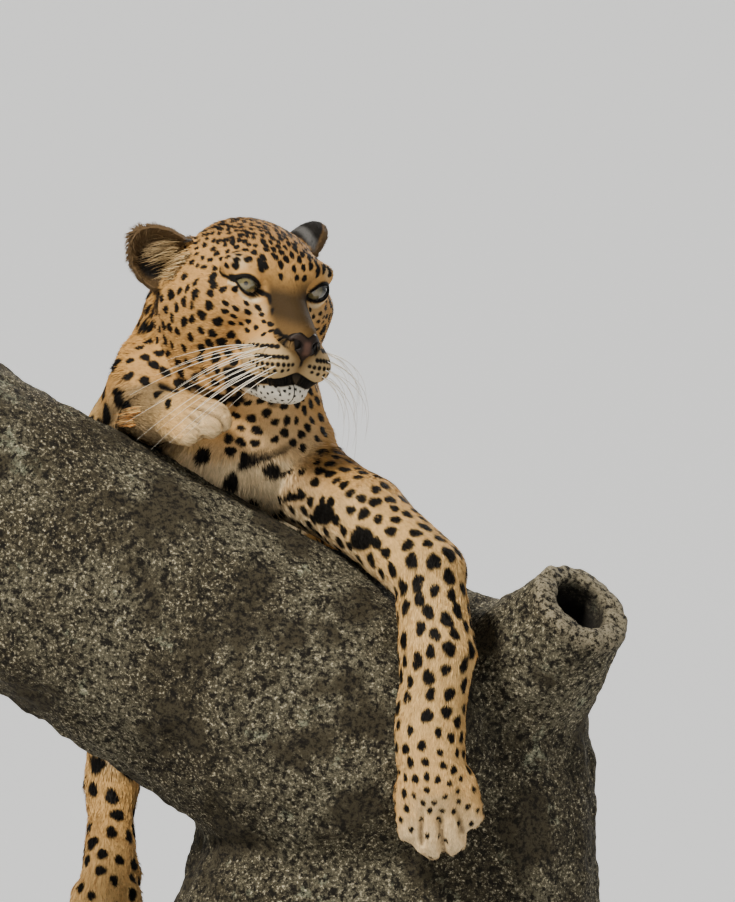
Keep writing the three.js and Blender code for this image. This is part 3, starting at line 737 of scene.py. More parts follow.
def spotCover(p, n, found):
    # how black each point is, and how much of the tawny middle of a rosette it has
    tree = treeOf(found["place"])
    soft, many = spots["soft"], 3
    index = np.zeros((len(p), many), int)
    for row, point in enumerate(p.tolist()):
        hits = tree.find_n(point, many)
        for k, hit in enumerate(hits):
            index[row, k] = hit[1]
    black, middle = np.zeros(len(p)), np.zeros(len(p))
    for k in range(many):
        i = index[:, k]
        d = p - found["place"][i]
        u = (d * found["lie"][i]).sum(1) / found["length"][i]
        v = (d * found["across"][i]).sum(1) / found["width"][i]
        turn = np.arctan2(v, u)
        r = np.hypot(u, v)
        a, b, c = found["phase"][i].T
        edge = 1.06 + 0.11 * np.sin(2 * turn + a) + 0.08 * np.sin(3 * turn + b) + 0.04 * np.sin(5 * turn + c)
        facing = step((n * found["normal"][i]).sum(1), -0.1, 0.3)
        solid = step(edge - r, -soft, soft)
        parts = step(np.sin(4 * turn + a) + 0.35 * np.sin(3 * turn + c) + 0.25, -0.2, 0.25)
        ringed = step(0.27 - np.abs(r / edge - 0.78), -0.07, 0.09) * parts
        isRing = found["ring"][i] > 0.5
        black = np.maximum(black, np.where(isRing, ringed, solid) * facing)
        middle = np.maximum(middle, np.where(isRing, step(0.75 * edge - r, -0.15, 0.25), 0) * facing)
    return black, middle


def mixed(colour, target, amount):
    return colour + (np.array(target) - colour) * amount[:, None]


# Black lines and dots of the face, and a band of painted shade under the jaw, for the left side and mirrored,
# in the head's frame
faceMarks = {
    "bands": [
        ([(97, 33, -63), (106, 28, -63), (114, 20, -60), (117, 6, -57)], 3.2, 0.9),
        ([(50, 43, -67), (73, 37, -65), (94, 33, -63)], 7.0, 2.0),
        ([(48, 42, -80), (60, 39, -77), (74, 36, -74), (86, 32, -73)], 6.5, 2.5),
        # painted shade: a dark band along the underside of the jaw
        ([(-13, 64, -94), (9, 56, -95), (24, 44, -97), (36, 30, -98), (42, 18, -95)], 6.0, 3.0),
        ([(60, 28, 23), (69, 22, 20), (73, 20, 13)], 2.9, 1.2),
        ([(52, 54, 31), (45, 58, 31), (35, 63, 31)], 2.6, 1.2),
        ([(64, 33, 46), (59, 36, 57)], 3.6, 1.2),
        ([(50, 50, 45), (56, 42, 47)], 1.2, 0.8),
        ([(123, 0, -35), (122, 0, -47), (118, 0, -55)], 1.7, 0.9),
        ([(102, 26, -9), (111, 23, -15), (118, 19, -19)], 4.4, 1.2),
        ([(80, 21, 8), (84, 21, 0)], 2.2, 1.2),
    ],
    "rows": [
        ([(82, 43, -31), (102, 38, -27), (114, 27, -24)], 7, 3.3),
        ([(104, 44, -37), (117, 35, -35), (123, 18, -33)], 9, 2.7),
        ([(98, 46.5, -45), (120, 35, -42), (123.5, 10, -40)], 10, 2.3),
        ([(108, 43, -48), (118.6, 35.4, -48), (123, 14, -46)], 7, 2.1),
        ([(112, 38, -53), (119.5, 30, -52)], 4, 1.8),
        ([(23, 66, 28), (32, 68, 19)], 2, 5.0),
        ([(46.5, 55, 51), (52, 45.5, 53.5)], 2, 4.2),
    ],
}


coatColours = {
    "back": (0.36, 0.175, 0.045), "flank": (0.45, 0.245, 0.072), "pale": (0.68, 0.55, 0.35),
    "arm": (0.62, 0.405, 0.160), "paw": (0.64, 0.41, 0.165), "black": (0.0045, 0.004, 0.0035),
    "bridge": (0.018, 0.012, 0.0055), "crown": (0.24, 0.13, 0.048), "cheek": (0.47, 0.265, 0.088),
    # forearm: painted shade, the grey-brown of the folded forearm's shaded outer side
    "forearm": (0.19, 0.135, 0.075), "pads": (0.46, 0.34, 0.18), "white": (0.64, 0.61, 0.53),
    # cleft: painted shade for the creases between the toes
    "middle": (0.27, 0.12, 0.030), "cleft": (0.10, 0.065, 0.035),
    "earBack": (0.010, 0.009, 0.008), "earInside": (0.085, 0.054, 0.026), "earBand": (0.10, 0.10, 0.10),
}


def coatColour(p, n, found):
    tone = coatColours
    far, where, _ = bodyParts(p)
    q = toHead(p)
    m = mirrored(q)
    colour = np.tile(np.array(tone["flank"]), (len(p), 1))
    colour = mixed(colour, tone["back"], step(n[:, 2], 0.1, 0.8) * step(p[:, 1], -0.3, -0.1))
    under = step(-n[:, 2], 0.1, 0.75)
    colour = mixed(colour, tone["pale"], under)
    chest = step(p[:, 1], -0.16, -0.24) * step(-n[:, 1] - 0.6 * n[:, 2], 0.1, 0.7) * step(p[:, 2], 0.72, 0.66)
    colour = mixed(colour, tone["pale"], chest * 0.4)
    for name in ("forelegLeft", "forelegRight", "foldedRight", "hindLeft", "hindRight"):
        near = step(1.5 - far[name], 0, 0.4)
        w = where[name]
        colour = mixed(colour, tone["arm"], near * step(w, 0.05, 0.35) * (0.9 if "hind" not in name else 0.5))
        colour = mixed(colour, tone["paw"], near * step(w, 0.72, 0.9) * (name != "forelegRight"))
        colour = mixed(colour, tone["pale"], near * under * 0.6)
        # painted shade: the folded forearm darkened to grey-brown away from its paw
        if name == "foldedRight":
            colour = mixed(colour, tone["forearm"], near * step(w, 0.86, 0.7) * 0.8)
    armpit = step(p[:, 2], 0.63, 0.59) * step(p[:, 1], -0.17, -0.24) * step(far["forelegLeft"], 1.0, 1.4)
    colour = mixed(colour, tone["pale"], armpit * 0.6)
    for name in paws:
        v = pawPlace(p, name)
        near = (np.abs(v[:, 1]) < 60) & (np.abs(v[:, 2]) < 42) & (v[:, 0] < 135)
        colour = mixed(colour, tone["pale"], near * step(v[:, 0], 66, 92) * 0.55)
        # painted shade darkens the clefts between the toes
        colour = mixed(colour, tone["cleft"], near * cleftDepth(v) * 0.75)
    # the head
    onHead = step(q[:, 0], -95, -55) * step(norm(q), 165, 145) * step(far["foldedRight"], 1.1, 1.3)
    face = np.tile(np.array(tone["cheek"]), (len(p), 1))
    face = mixed(face, tone["pale"], step(q[:, 2], -52, -78) * step(q[:, 0], 20, 75) * 0.6)
    overEye = norm((m - np.array((40, 50, 48.0))) / (1.5, 1, 0.8))
    face = mixed(face, tone["pale"], step(14 - overEye, 0, 9) * 0.6)
    face = mixed(face, tone["crown"], step(q[:, 2], 44, 80) * 0.7)
    bridge = step(31 - m[:, 1], 0, 10) * step(q[:, 0] + 0.5 * q[:, 2], 66, 84) * step(q[:, 2], 54, 22)
    lighter = step(q[:, 2], 8, -6)
    face = mixed(face, tone["bridge"], bridge * (0.96 - 0.14 * lighter))
    pale = bone(m, (72, 30, 6), (44, 58, 2), 6, 5)
    face = mixed(face, tone["pale"], step(-pale, -5, 3) * 0.2)
    pads = step(34 - norm((m - np.array((96, 24, -42.0))) / (1.2, 1, 0.8)), 0, 12)
    face = mixed(face, tone["pads"], pads * 0.85)
    mouthFar, mouthAt = besideLine(m, mouthLine)
    low = np.interp(mouthAt, np.linspace(0, 1, len(mouthLine)), [v[2] for v in mouthLine]) - m[:, 2]
    chin = step(low, 5.6, 7.0) * step(q[:, 0], 60, 80)
    face = mixed(face, tone["white"], chin)
    colour = colour * (1 - onHead[:, None]) + face * onHead[:, None]

    black, middle = spotCover(p, n, found)
    colour = mixed(colour, tone["middle"], middle * 0.45)

    black = np.maximum(black, step(6.3 - mouthFar, -0.8, 0.8) * onHead * (1 - 0.9 * chin))
    for line, thick, fade in faceMarks["bands"]:
        away, _ = besideLine(m, line)
        black = np.maximum(black, step(thick - away, -fade, fade) * onHead)
    flip = np.where(q[:, 1] < 0, -1, 1)
    outwards = n @ headTurn * np.column_stack([np.ones(len(q)), flip, np.ones(len(q))])
    for line, count, r in faceMarks["rows"]:
        for t in np.linspace(0, 1, count):
            i = min(int(t * (len(line) - 1)), len(line) - 2)
            a, b = np.array(line[i], float), np.array(line[i + 1], float)
            dot = a + (b - a) * (t * (len(line) - 1) - i)
            gap = m - dot
            near = norm(gap) < 9
            gap -= (gap * outwards).sum(1)[:, None] * outwards
            black = np.maximum(black, step(r - norm(gap), -0.6, 0.7) * near * onHead)
    rim, depth = slitDistance(m)
    nearEye = onHead * (depth > 0) * (norm(m - eyeAt) < 34)
    lidWidth = np.where(m[:, 2] > head["eye"][2], 3.8, 2.2)
    black = np.maximum(black, step(lidWidth - rim, -0.7, 0.8) * nearEye)
    paleLid = step(2.2 - np.abs(rim - 4.6), -0.4, 1.4) * nearEye * step(head["eye"][2] - m[:, 2], -4, 3)
    paleLid *= step(m[:, 1], 25, 34)
    colour = mixed(colour, tone["pale"], paleLid * 0.8)
    flat = fromFront(p)
    ahead = step(-n[:, 1], -0.25, 0.1) * (1 - onHead) * step(p[:, 1], -0.05, -0.12)
    # black bars of the neck and chest, and painted shade between the jaw and the folded paw
    for line, thick in spots["necklace"]:
        line3 = [(x, 0, z) for x, z in line]
        away, _ = besideLine(np.column_stack([flat[:, 0], np.zeros(len(p)), flat[:, 1]]), line3)
        black = np.maximum(black, step(thick - away, -1.2, 1.2) * ahead)
    for x, z, r in spots["bigOnArm"]:
        black = np.maximum(black, step(r - np.hypot(flat[:, 0] - x, flat[:, 1] - z), -1.5, 1.5) * ahead)
    # the ears: black behind with a pale patch, brown and pale inside, with painted shade deep in the hollow
    ears = {"ear_right": (-46, -64, 20), "ear_left": (-32, 54, 46)}
    opens = {"ear_right": (0.82, -0.5, 0.15), "ear_left": (0.02, 0.93, -0.3)}
    for ear, base in ears.items():
        away, size = fromNode(p, ear)
        near = step(size * 0.56 - away, 0, 0.008) * step(headField(q), 1.5, 4)
        facing = n @ (headTurn @ np.array(opens[ear]))
        behind = step(-facing, -0.15, 0.25)
        colour = mixed(colour, tone["earInside"], near * (1 - behind))
        colour = mixed(colour, tone["earBack"], near * behind)
        upward = norm(q - np.array(base, float))
        colour = mixed(colour, tone["earBand"], near * behind * step(5 - np.abs(upward - 33), 0, 4) * 0.8)
        # painted shade deep in the ear's hollow
        earHollowShade = step(24 - norm(m - np.array((-77, 88, 18.0))), 0, 12)
        colour = mixed(colour, tone["earBack"], near * (1 - behind) * earHollowShade)
        black = black * (1 - near)
    colour = mixed(colour, tone["black"], black)
    return colour


# Unwrap of the skin: flat pieces by part of the body and by which way they face, packed on shelves
def unwrap(surface):
    parts = placeInBody(surface.middle)
    kind = np.argmin(np.stack([v[0] for v in parts.values()]), axis=0)
    q = toHead(surface.middle)
    kind[(q[:, 0] > -95) & (norm(q) < 170)] = len(parts)
    a, b, c = (surface.co[surface.tri[:, k]] for k in range(3))
    faceNormal = np.cross(b - a, c - a)
    axis = np.argmax(np.abs(faceNormal), axis=1)
    sign = (np.take_along_axis(faceNormal, axis[:, None], 1)[:, 0] > 0).astype(int)
    chart = kind * 6 + axis * 2 + sign
    keep = np.array([[1, 2], [0, 2], [0, 1]])[axis]
    flat = np.stack([np.take_along_axis(surface.co[surface.tri[:, k]], keep, 1) for k in range(3)], axis=1)
    boxes = []
    for label in np.unique(chart):
        mine = flat[chart == label].reshape(-1, 2)
        boxes.append((label, mine.min(0), mine.max(0) - mine.min(0)))
    boxes.sort(key=lambda box: -box[2][1])
    margin, width = 0.008, 2.3
    x = y = shelf = 0.0
    offset = np.zeros((chart.max() + 1, 2))
    for label, low, size in boxes:
        if x + size[0] > width:
            x, y, shelf = 0.0, y + shelf + margin, 0.0
        offset[label] = (x - low[0], y - low[1])
        x += size[0] + margin
        shelf = max(shelf, size[1])
    side = max(width, y + shelf) + margin
    surface.unwrapped = (flat + offset[chart][:, None, :]) / side
    report(f"unwrap of {len(boxes)} pieces, {side:.2f} m across")


def bakeMap(mesh, uv):
    mesh.uv_layers.new(name="OFBake").uv.foreach_set("vector", uv.ravel())


def writeUnwrap(mesh, surface):
    loops = np.empty(len(mesh.loop_triangles) * 3, dtype=np.int32)
    mesh.loop_triangles.foreach_get("loops", loops)
    uv = np.zeros((len(mesh.loops), 2))
    uv[loops] = surface.unwrapped.reshape(-1, 2)
    bakeMap(mesh, uv)


def paint(mesh, colour, name="coat"):
    layer = mesh.attributes.new(name, "FLOAT_COLOR", "POINT")
    rgba = np.ones((len(colour), 4))
    rgba[:, :3] = colour
    layer.data.foreach_set("color", rgba.ravel())


def setInputs(node, values):
    for key, value in values.items():
        node.inputs[key].default_value = value


def newMaterial(name, values):
    made = bpy.data.materials.new(name)
    made.use_nodes = True
    shader = made.node_tree.nodes["Principled BSDF"]
    setInputs(shader, values)
    return made, shader


def coatMaterial(name, roughness, bump=0.0):
    made, shader = newMaterial(name, {"Roughness": roughness, "Specular IOR Level": 0.10})
    tree = made.node_tree
    colour = tree.nodes.new("ShaderNodeAttribute")
    colour.attribute_name = "coat"
    tree.links.new(colour.outputs["Color"], shader.inputs["Base Color"])
    if bump:
        place = tree.nodes.new("ShaderNodeTexCoord")
        grain = tree.nodes.new("ShaderNodeTexNoise")
        setInputs(grain, {"Scale": 700, "Detail": 3})
        tree.links.new(place.outputs["Object"], grain.inputs["Vector"])
        raised = tree.nodes.new("ShaderNodeBump")
        setInputs(raised, {"Strength": bump, "Distance": 0.001})
        tree.links.new(grain.outputs["Fac"], raised.inputs["Height"])
        tree.links.new(raised.outputs["Normal"], shader.inputs["Normal"])
    return made


# Coat: how many short tufts each of its pieces has
coat = {
    "head": 66000, "neck": 60000, "forelegLeft": 66000, "forelegRight": 44000,
    "body": 66000, "hindlegs": 52000, "tail": 18000,
}
# each tuft is painted darker at its root, as shade among the hairs, and lighter at its tip, as light
tuft = {
    "sunk": 0.0004, "yaw": 0.16, "roll": 0.35, "waist": 0.42, "clump": 190,
    "rootShade": 0.70, "tipShade": 1.12, "patch": 0.0015,
}


def coatShape(p, n):
    # length, width and lift of the tufts
    q = toHead(p)
    m = mirrored(q)
    _, where, best = bodyParts(p)
    length, width, lift = np.full(len(p), 13.0), np.full(len(p), 1.7), np.full(len(p), 20.0)
    isNeck = best == "neck"
    length[isNeck], width[isNeck] = 11.5, 1.15
    for name in ("forelegLeft", "foldedRight", "forelegRight"):
        mine = best == name
        length[mine] = np.interp(where[name][mine], [0, 0.6, 0.8, 1], [8.5, 7.5, 6.5, 5])
        width[mine] = np.interp(where[name][mine], [0, 0.6, 1], [1.0, 0.95, 0.8])
        lift[mine] = 15
    for name in ("hindLeft", "hindRight"):
        mine = best == name
        length[mine] = np.interp(where[name][mine], [0, 0.5, 1], [13, 11, 6])
        width[mine] = np.interp(where[name][mine], [0, 1], [1.7, 1.1])
    length[best == "tail"] = 12
    belly = step(-n[:, 2], 0.5, 0.9) * (best == "body")
    length += 8 * belly
    lift += 10 * belly
    onHead = step(q[:, 0], -95, -60) * step(norm(q), 168, 150)
    headLength = 6.2 - 3.4 * step(q[:, 0], 30, 100) + 3.0 * step(q[:, 0], 0, -60)
    headLength += 3.5 * step(q[:, 2], -50, -70) * step(q[:, 0], 70, 20)
    rim, depth = slitDistance(m)
    nearEye = (depth > 0) * step(16 - rim, 0, 12) * (norm(m - eyeAt) < 40)
    nearLip = step(14 - besideLine(m, mouthLine)[0], 0, 7)
    headLength = headLength * (1 - 0.55 * nearEye) * (1 - 0.65 * nearLip)
    onEar = step(headField(q), 3, 6) * onHead
    headLength = headLength * (1 - onEar) + 4.5 * onEar
    length = length * (1 - onHead) + headLength * onHead
    width = width * (1 - onHead) + np.clip(headLength * 0.14, 0.4, 0.95) * onHead
    lift = lift * (1 - onHead) + 15 * onHead
    return length / 1000, width / 1000, np.radians(lift)


def bald(p):
    # places with no tufts: eyes, nose pad, lips
    q = toHead(p)
    m = mirrored(q)
    rim, depth = slitDistance(m)
    eye = (rim < 1.4) & (depth > 0) & (norm(m - eyeAt) < 30)
    lip = besideLine(m, mouthLine)[0] < 5.9
    return eye | lip | onNosePad(q, 0.5)


def noseEdge(q):
    # how far inside the outline of the bare nose, seen from the front
    y, z = np.abs(q[:, 1]), q[:, 2]
    half = np.interp(-z, [5, 8, 12, 17, 21, 25, 30, 36], [8, 14, 18, 19.5, 16.5, 11, 5.5, 0.5])
    top = -5.5 - 4.5 * np.clip(1 - y / 7, 0, 1)
    return np.where(q[:, 0] > 104, np.minimum(half - y, top - z), -20)


def onNosePad(q, margin):
    return noseEdge(q) > -margin


def growCoat(surface, found, furMaterial):
    far, _, best = bodyParts(surface.middle)
    q = toHead(surface.middle)
    isHead = (q[:, 0] > -90) & (norm(q) < 168) & (far["foldedRight"] > 1.2)
    isChest = (best == "body") & (surface.middle[:, 1] < -0.14)
    group = {
        "head": isHead,
        "neck": ~isHead & ((best == "neck") | isChest),
        "forelegLeft": ~isHead & (best == "forelegLeft"),
        "forelegRight": ~isHead & ((best == "forelegRight") | (best == "foldedRight")),
        "body": ~isHead & (best == "body") & ~isChest,
        "hindlegs": ~isHead & ((best == "hindLeft") | (best == "hindRight")),
        "tail": ~isHead & (best == "tail"),
    }
    for name, count in coat.items():
        weight = group[name].astype(float)
        if name == "head":
            weight *= 1 + 1.6 * step(q[:, 0], 0, 70)
        place, n, pick, bary = surface.scatter(count, weight)
        sure = ~bald(place)
        place, n, pick, bary = place[sure], n[sure], pick[sure], bary[sure]
        size = len(place)
        length, width, lift = coatShape(place, n)
        length *= rng.uniform(0.75, 1.25, size)
        lie = lieOf(place, n)
        across = np.cross(n, lie)
        yaw = rng.normal(0, tuft["yaw"], size)[:, None]
        lie, across = lie * np.cos(yaw) + across * np.sin(yaw), across * np.cos(yaw) - lie * np.sin(yaw)
        roll = rng.normal(0, tuft["roll"], size)[:, None]
        flat = across * np.cos(roll) + n * np.sin(roll)
        lift = (lift * rng.uniform(0.6, 1.4, size))[:, None]
        rise = lie * np.cos(lift) + n * np.sin(lift)
        settle = lie * np.cos(lift * 0.25) + n * np.sin(lift * 0.25)
        root = place - n * tuft["sunk"]
        long, wide = length[:, None], width[:, None]
        mid = root + rise * long * 0.5
        tip = mid + settle * long * 0.5
        points = np.stack([
            root - flat * wide * 0.5, root + flat * wide * 0.5,
            mid - flat * wide * tuft["waist"], mid + flat * wide * tuft["waist"], tip,
        ], axis=1)
        low = coatColour(place + lie * long * 0.3, n, found)
        high = coatColour(place + lie * long * 0.75, n, found)
        clump = np.array([noise.noise(Vector(v) * tuft["clump"]) for v in place.tolist()])
        shade = (rng.uniform(0.80, 1.16, size) * (1 + 0.22 * clump))[:, None]
        # painted shade at each tuft's root and painted light at its tip
        shadedFoot, waist, end = low * shade * tuft["rootShade"], low * shade, high * shade * tuft["tipShade"]
        tone = np.stack([shadedFoot, shadedFoot, waist, waist, end], axis=1)
        base = np.arange(size)[:, None] * 5
        faces = (base + np.array([0, 1, 3, 0, 3, 2, 2, 3, 4])).reshape(-1, 3)
        mesh = bpy.data.meshes.new(f"coat{name[0].upper()}{name[1:]}")
        mesh.vertices.add(size * 5)
        mesh.loops.add(len(faces) * 3)
        mesh.polygons.add(len(faces))
        mesh.vertices.foreach_set("co", points.ravel())
        mesh.loops.foreach_set("vertex_index", faces.ravel().astype(np.int32))
        mesh.polygons.foreach_set("loop_start", np.arange(0, len(faces) * 3, 3, dtype=np.int32))
        mesh.update(calc_edges=True)
        paint(mesh, np.clip(tone.reshape(-1, 3), 0, 1))
        uvRoot = (surface.unwrapped[pick] * bary[:, :, None]).sum(1)
        spread = np.array([(-1, -1), (1, -1), (-1, 0.2), (1, 0.2), (0, 1)]) * tuft["patch"]
        uvPoint = (uvRoot[:, None, :] + spread).reshape(-1, 2)
        bakeMap(mesh, uvPoint[faces.ravel()])
        shown(mesh, mesh.name, furMaterial)
        report(f"coat of the {name}, {size} tufts")


# Eyes
iris = {
    "pupil": 2.3, "edge": 10.2, "gaze": (15.2, -7.4, 1.8),
    "gold": (0.105, 0.092, 0.042), "inner": (0.14, 0.112, 0.045), "dark": (0.02, 0.018, 0.013),
    "ring": (0.07, 0.062, 0.030), "black": (0.004, 0.004, 0.004),
}


def makeEye(side):
    x, y, z = head["eye"]
    gaze = Vector(iris["gaze"]).normalized()
    edit = bmesh.new()
    bmesh.ops.create_uvsphere(edit, u_segments=128, v_segments=80, radius=head["eyeRadius"])
    aim = Vector((0, 0, 1)).rotation_difference(gaze).to_matrix().to_4x4()
    mesh = meshFrom(edit, "eye")
    place = headFrame @ Matrix.Translation((x, side * y, z)) @ aim
    co = coords(mesh)
    turn = np.array(place.to_3x3())
    across = np.hypot(co[:, 0], co[:, 1])
    around = np.arctan2(co[:, 1], co[:, 0])
    front = co[:, 2] > 0
    bulge = 1 + 0.045 * step(11 - across, 0, 7) * front
    setCoords(mesh, ((co * bulge[:, None]) @ turn.T + np.array(place.translation)) / 1000)
    grain = 0.5 + 0.25 * np.sin(around * 23) + 0.25 * np.sin(around * 37 + 1)
    colour = np.tile(np.array(iris["gold"]), (len(co), 1))
    colour = mixed(colour, iris["inner"], step(across, 6.5, 3.0))
    colour *= (0.85 + 0.25 * grain)[:, None]
    colour = mixed(colour, iris["ring"], step(across, 8.0, 9.8))
    colour = mixed(colour, iris["dark"], step(across, iris["edge"] - 0.5, iris["edge"] + 0.4))
    colour = mixed(colour, iris["black"], step(iris["pupil"] - across, -0.25, 0.25))
    colour = mixed(colour, iris["dark"], 1.0 * ~front)
    paint(mesh, colour)
    shadeSmooth(mesh)
    return mesh


eyeMaterial = coatMaterial("eyeWet", 0.08)
setInputs(
    eyeMaterial.node_tree.nodes["Principled BSDF"],
    {"Specular IOR Level": 0.5, "Coat Weight": 1.0, "Coat Roughness": 0.03},
)


def tube(name, runs, material, surface, sides=3):
    # round strands along runs of (point, radius) in metres
    data = bpy.data.curves.new(name, "CURVE")
    data.dimensions = "3D"
    data.bevel_depth = 1.0
    data.bevel_resolution = sides
    data.use_fill_caps = True
    for run in runs:
        spline = data.splines.new("POLY")
        spline.points.add(len(run) - 1)
        for point, (place, radius) in zip(spline.points, run):
            point.co = (*place, 1)
            point.radius = radius
    mesh = settled(placed(name, data))
    mesh.name = name
    owner = [(i, k / (len(run) - 1)) for i, run in enumerate(runs) for k in range(len(run))]
    tree = treeOf([place for run in runs for place, _ in run])
    roots = surface.unwrappedNear([run[0][0] for run in runs])
    layer = mesh.uv_layers.new(name="OFBake")
    for loop in mesh.loops:
        run, t = owner[tree.find(mesh.vertices[loop.vertex_index].co)[1]]
        patch = np.array((loop.vertex_index % 3 / 2 - 0.5, t - 0.5)) * 0.003
        layer.data[loop.index].uv = roots[run] + patch
    shown(mesh, name, material)


def eyeRims():
    outwards, up, gaze = eyeAxes()
    runs = []
    for side in (-1, 1):
        ring = []
        for mid, reverse in (("top", False), ("bottom", True)):
            a, b, c = (np.array(eyeSlit[k], float) for k in ("inner", mid, "outer"))
            for t in np.linspace(0, 1, 16):
                t = 1 - t if reverse else t
                u, v = a * (1 - t) ** 2 + b * 2 * t * (1 - t) + c * t**2
                near = u * u + v * v < 240
                w = math.sqrt(max(0, (head["eyeRadius"] + 0.5) ** 2 - u * u - v * v)) if near else 2
                q = eyeAt + outwards * u + up * v + gaze * max(w, 5)
                q[1] *= side
                ring.append((fromHead(q[None])[0], 0.0013))
        runs.append(ring)
    return runs


# Whiskers: roots in rows on the lip pads, swept out, back and down
whiskers = {
    "rows": [
        ((82, 41, -30), (106, 31, -27)), ((92, 44, -38), (117, 31, -34)),
        ((100, 42, -45), (120, 24, -41)), ((104, 39, -52), (120, 22, -48)),
    ],
    "perRow": 5, "length": (85, 150), "radius": 0.5,
}


def whiskerRuns():
    runs = []
    for side in (-1, 1):
        for row in range(len(whiskers["rows"])):
            for k in range(whiskers["perRow"]):
                start, end = (np.array(v, float) for v in whiskers["rows"][row])
                root = start + (end - start) * k / (whiskers["perRow"] - 1) + rng.normal(0, 0.7, 3)
                length = rng.uniform(*whiskers["length"]) * (1 - 0.10 * k)
                heading = np.array((0.05 + 0.08 * k, 0.93, -0.09 - 0.07 * row + rng.normal(0, 0.05)))
                heading /= np.linalg.norm(heading)
                bend = np.array((-0.62, -0.20, -0.40 - 0.05 * row + rng.normal(0, 0.06)))
                run = []
                for t in np.linspace(0, 1, 12):
                    q = root + heading * length * t + bend * length * t * t
                    q[1] *= side
                    radius = whiskers["radius"] * (1 - 0.85 * t) / 1000
                    run.append((fromHead(q[None])[0], radius))
                runs.append(run)
    return runs


nose = {
    "skin": (0.022, 0.014, 0.011), "middle": (0.085, 0.046, 0.035),
    "nostril": (0.004, 0.003, 0.003), "edge": (0.006, 0.005, 0.004),
}


def nosePad(surface, material):
    # the bare leather of the nose stands a little proud of the skin
    q = toHead(surface.co)
    whole = onNosePad(q, 1.2)[surface.tri].all(1)
    used, index = np.unique(surface.tri[whole], return_inverse=True)
    place = q[used]
    edge = noseEdge(place)
    lift = 1.9 * step(edge, -1.5, 2.5) - 0.5
    raised = surface.co[used] + surface.normal[used] * lift[:, None] / 1000
    edit = bmesh.new()
    verts = [edit.verts.new(v) for v in raised]
    for face in index.reshape(-1, 3):
        edit.faces.new([verts[i] for i in face])
    mesh = meshFrom(edit, "noseLeather")
    bakeMap(mesh, surface.unwrapped[whole])
    m = mirrored(place)
    colour = np.tile(np.array(nose["skin"]), (len(place), 1))
    middle = step(5.5 - m[:, 1], 0, 4.0) * step(place[:, 2], -30, -25) * step(-place[:, 2], 12, 17)
    colour = mixed(colour, nose["middle"], middle)
    colour = mixed(colour, nose["nostril"], step(-nostril(m, (9.5, 7.4, 5.8), 3.4, 2.6), -1.4, 0.3))
    colour = mixed(colour, nose["edge"], step(3.2 - edge, 0, 2.4))
    paint(mesh, colour)
    shadeSmooth(mesh)
    shown(mesh, "noseLeather", material)


def strands(name, runs, width, tones, material, surface):
    # flat tapered hairs, each a run of points with the way its flat side faces
    points, faces, colour = [], [], []
    for (line, facing), tone in zip(runs, tones):
        line = np.array(line)
        ahead = np.gradient(line, axis=0)
        across = np.cross(ahead, facing)
        across /= norm(across)[:, None] + 1e-9
        start = len(points)
        for k, (place, side) in enumerate(zip(line, across)):
            t = k / (len(line) - 1)
            half = width * (1 - 0.85 * t) / 2
            points += [place - side * half, place + side * half]
            colour += [tone, tone]
            if k:
                a = start + 2 * k
                faces += [(a - 2, a - 1, a + 1), (a - 2, a + 1, a)]
    mesh = bpy.data.meshes.new(name)
    mesh.from_pydata([tuple(v) for v in points], [], faces)
    paint(mesh, np.array(colour))
    layer = mesh.uv_layers.new(name="OFBake")
    per = 2 * len(runs[0][0])
    roots = surface.unwrappedNear(points[::per])
    for i, root in enumerate(roots):
        first = i * (per - 2) * 3
        for k in range(first, first + (per - 2) * 3):
            v = mesh.loops[k].vertex_index - i * per
            u = ((v % 2) - 0.5, (v // 2) / (per / 2 - 1) - 0.5)
            layer.data[k].uv = (root[0] + u[0] * 0.003, root[1] + u[1] * 0.003)
    shown(mesh, name, material)


# Long pale hairs in the hollow of the right ear, darkened there with painted shade, tufts at its front edge
# and a bright one at the elbow:
# each comb runs from one pair of points to another, in millimetres
longHair = {
    "width": 0.0008,
    "combs": [
        (130, [(-99, -322, 846), (-106, -309, 828)], [(-134, -322, 842), (-133, -320, 823)], 3.4, 9, "dim"),
        (150, [(-84, -353, 832), (-102, -349, 806)], [(-106, -330, 824), (-120, -322, 808)], 2.2, 4, "pale"),
        (60, [(-136, -362, 668), (-144, -347, 648)], [(-158, -342, 666), (-162, -330, 650)], 2.0, 3, "rust"),
    ],
    "pale": [(0.46, 0.34, 0.18), (0.36, 0.25, 0.12), (0.20, 0.12, 0.05)],
    # the pale colours darkened, as painted shade, for the hairs in the ear's hollow
    "dim": [(0.36, 0.26, 0.13), (0.24, 0.16, 0.075), (0.10, 0.065, 0.030)],
    "rust": [(0.42, 0.19, 0.05), (0.32, 0.14, 0.04), (0.52, 0.33, 0.13)],
}


def hairRuns():
    runs, tones = [], []
    for count, start, end, spread, sag, tint in longHair["combs"]:
        start, end = np.array(start, float), np.array(end, float)
        for _ in range(count):
            t, jitter = rng.random(), rng.normal(0, spread, 3)
            a = start[0] + (start[1] - start[0]) * t + jitter
            b = end[0] + (end[1] - end[0]) * t + jitter + rng.normal(0, spread, 3)
            b = a + (b - a) * rng.uniform(0.5, 1.1)
            hang = np.array((0, -sag, sag))
            line = [(a + (b - a) * s + hang * s * (1 - s)) / 1000 for s in np.linspace(0, 1, 6)]
            runs.append((line, np.array((0, -1, 0.2))))
            colours = longHair[tint]
            tones.append(np.array(colours[rng.integers(len(colours))]) * rng.uniform(0.75, 1.15))
    return runs, tones


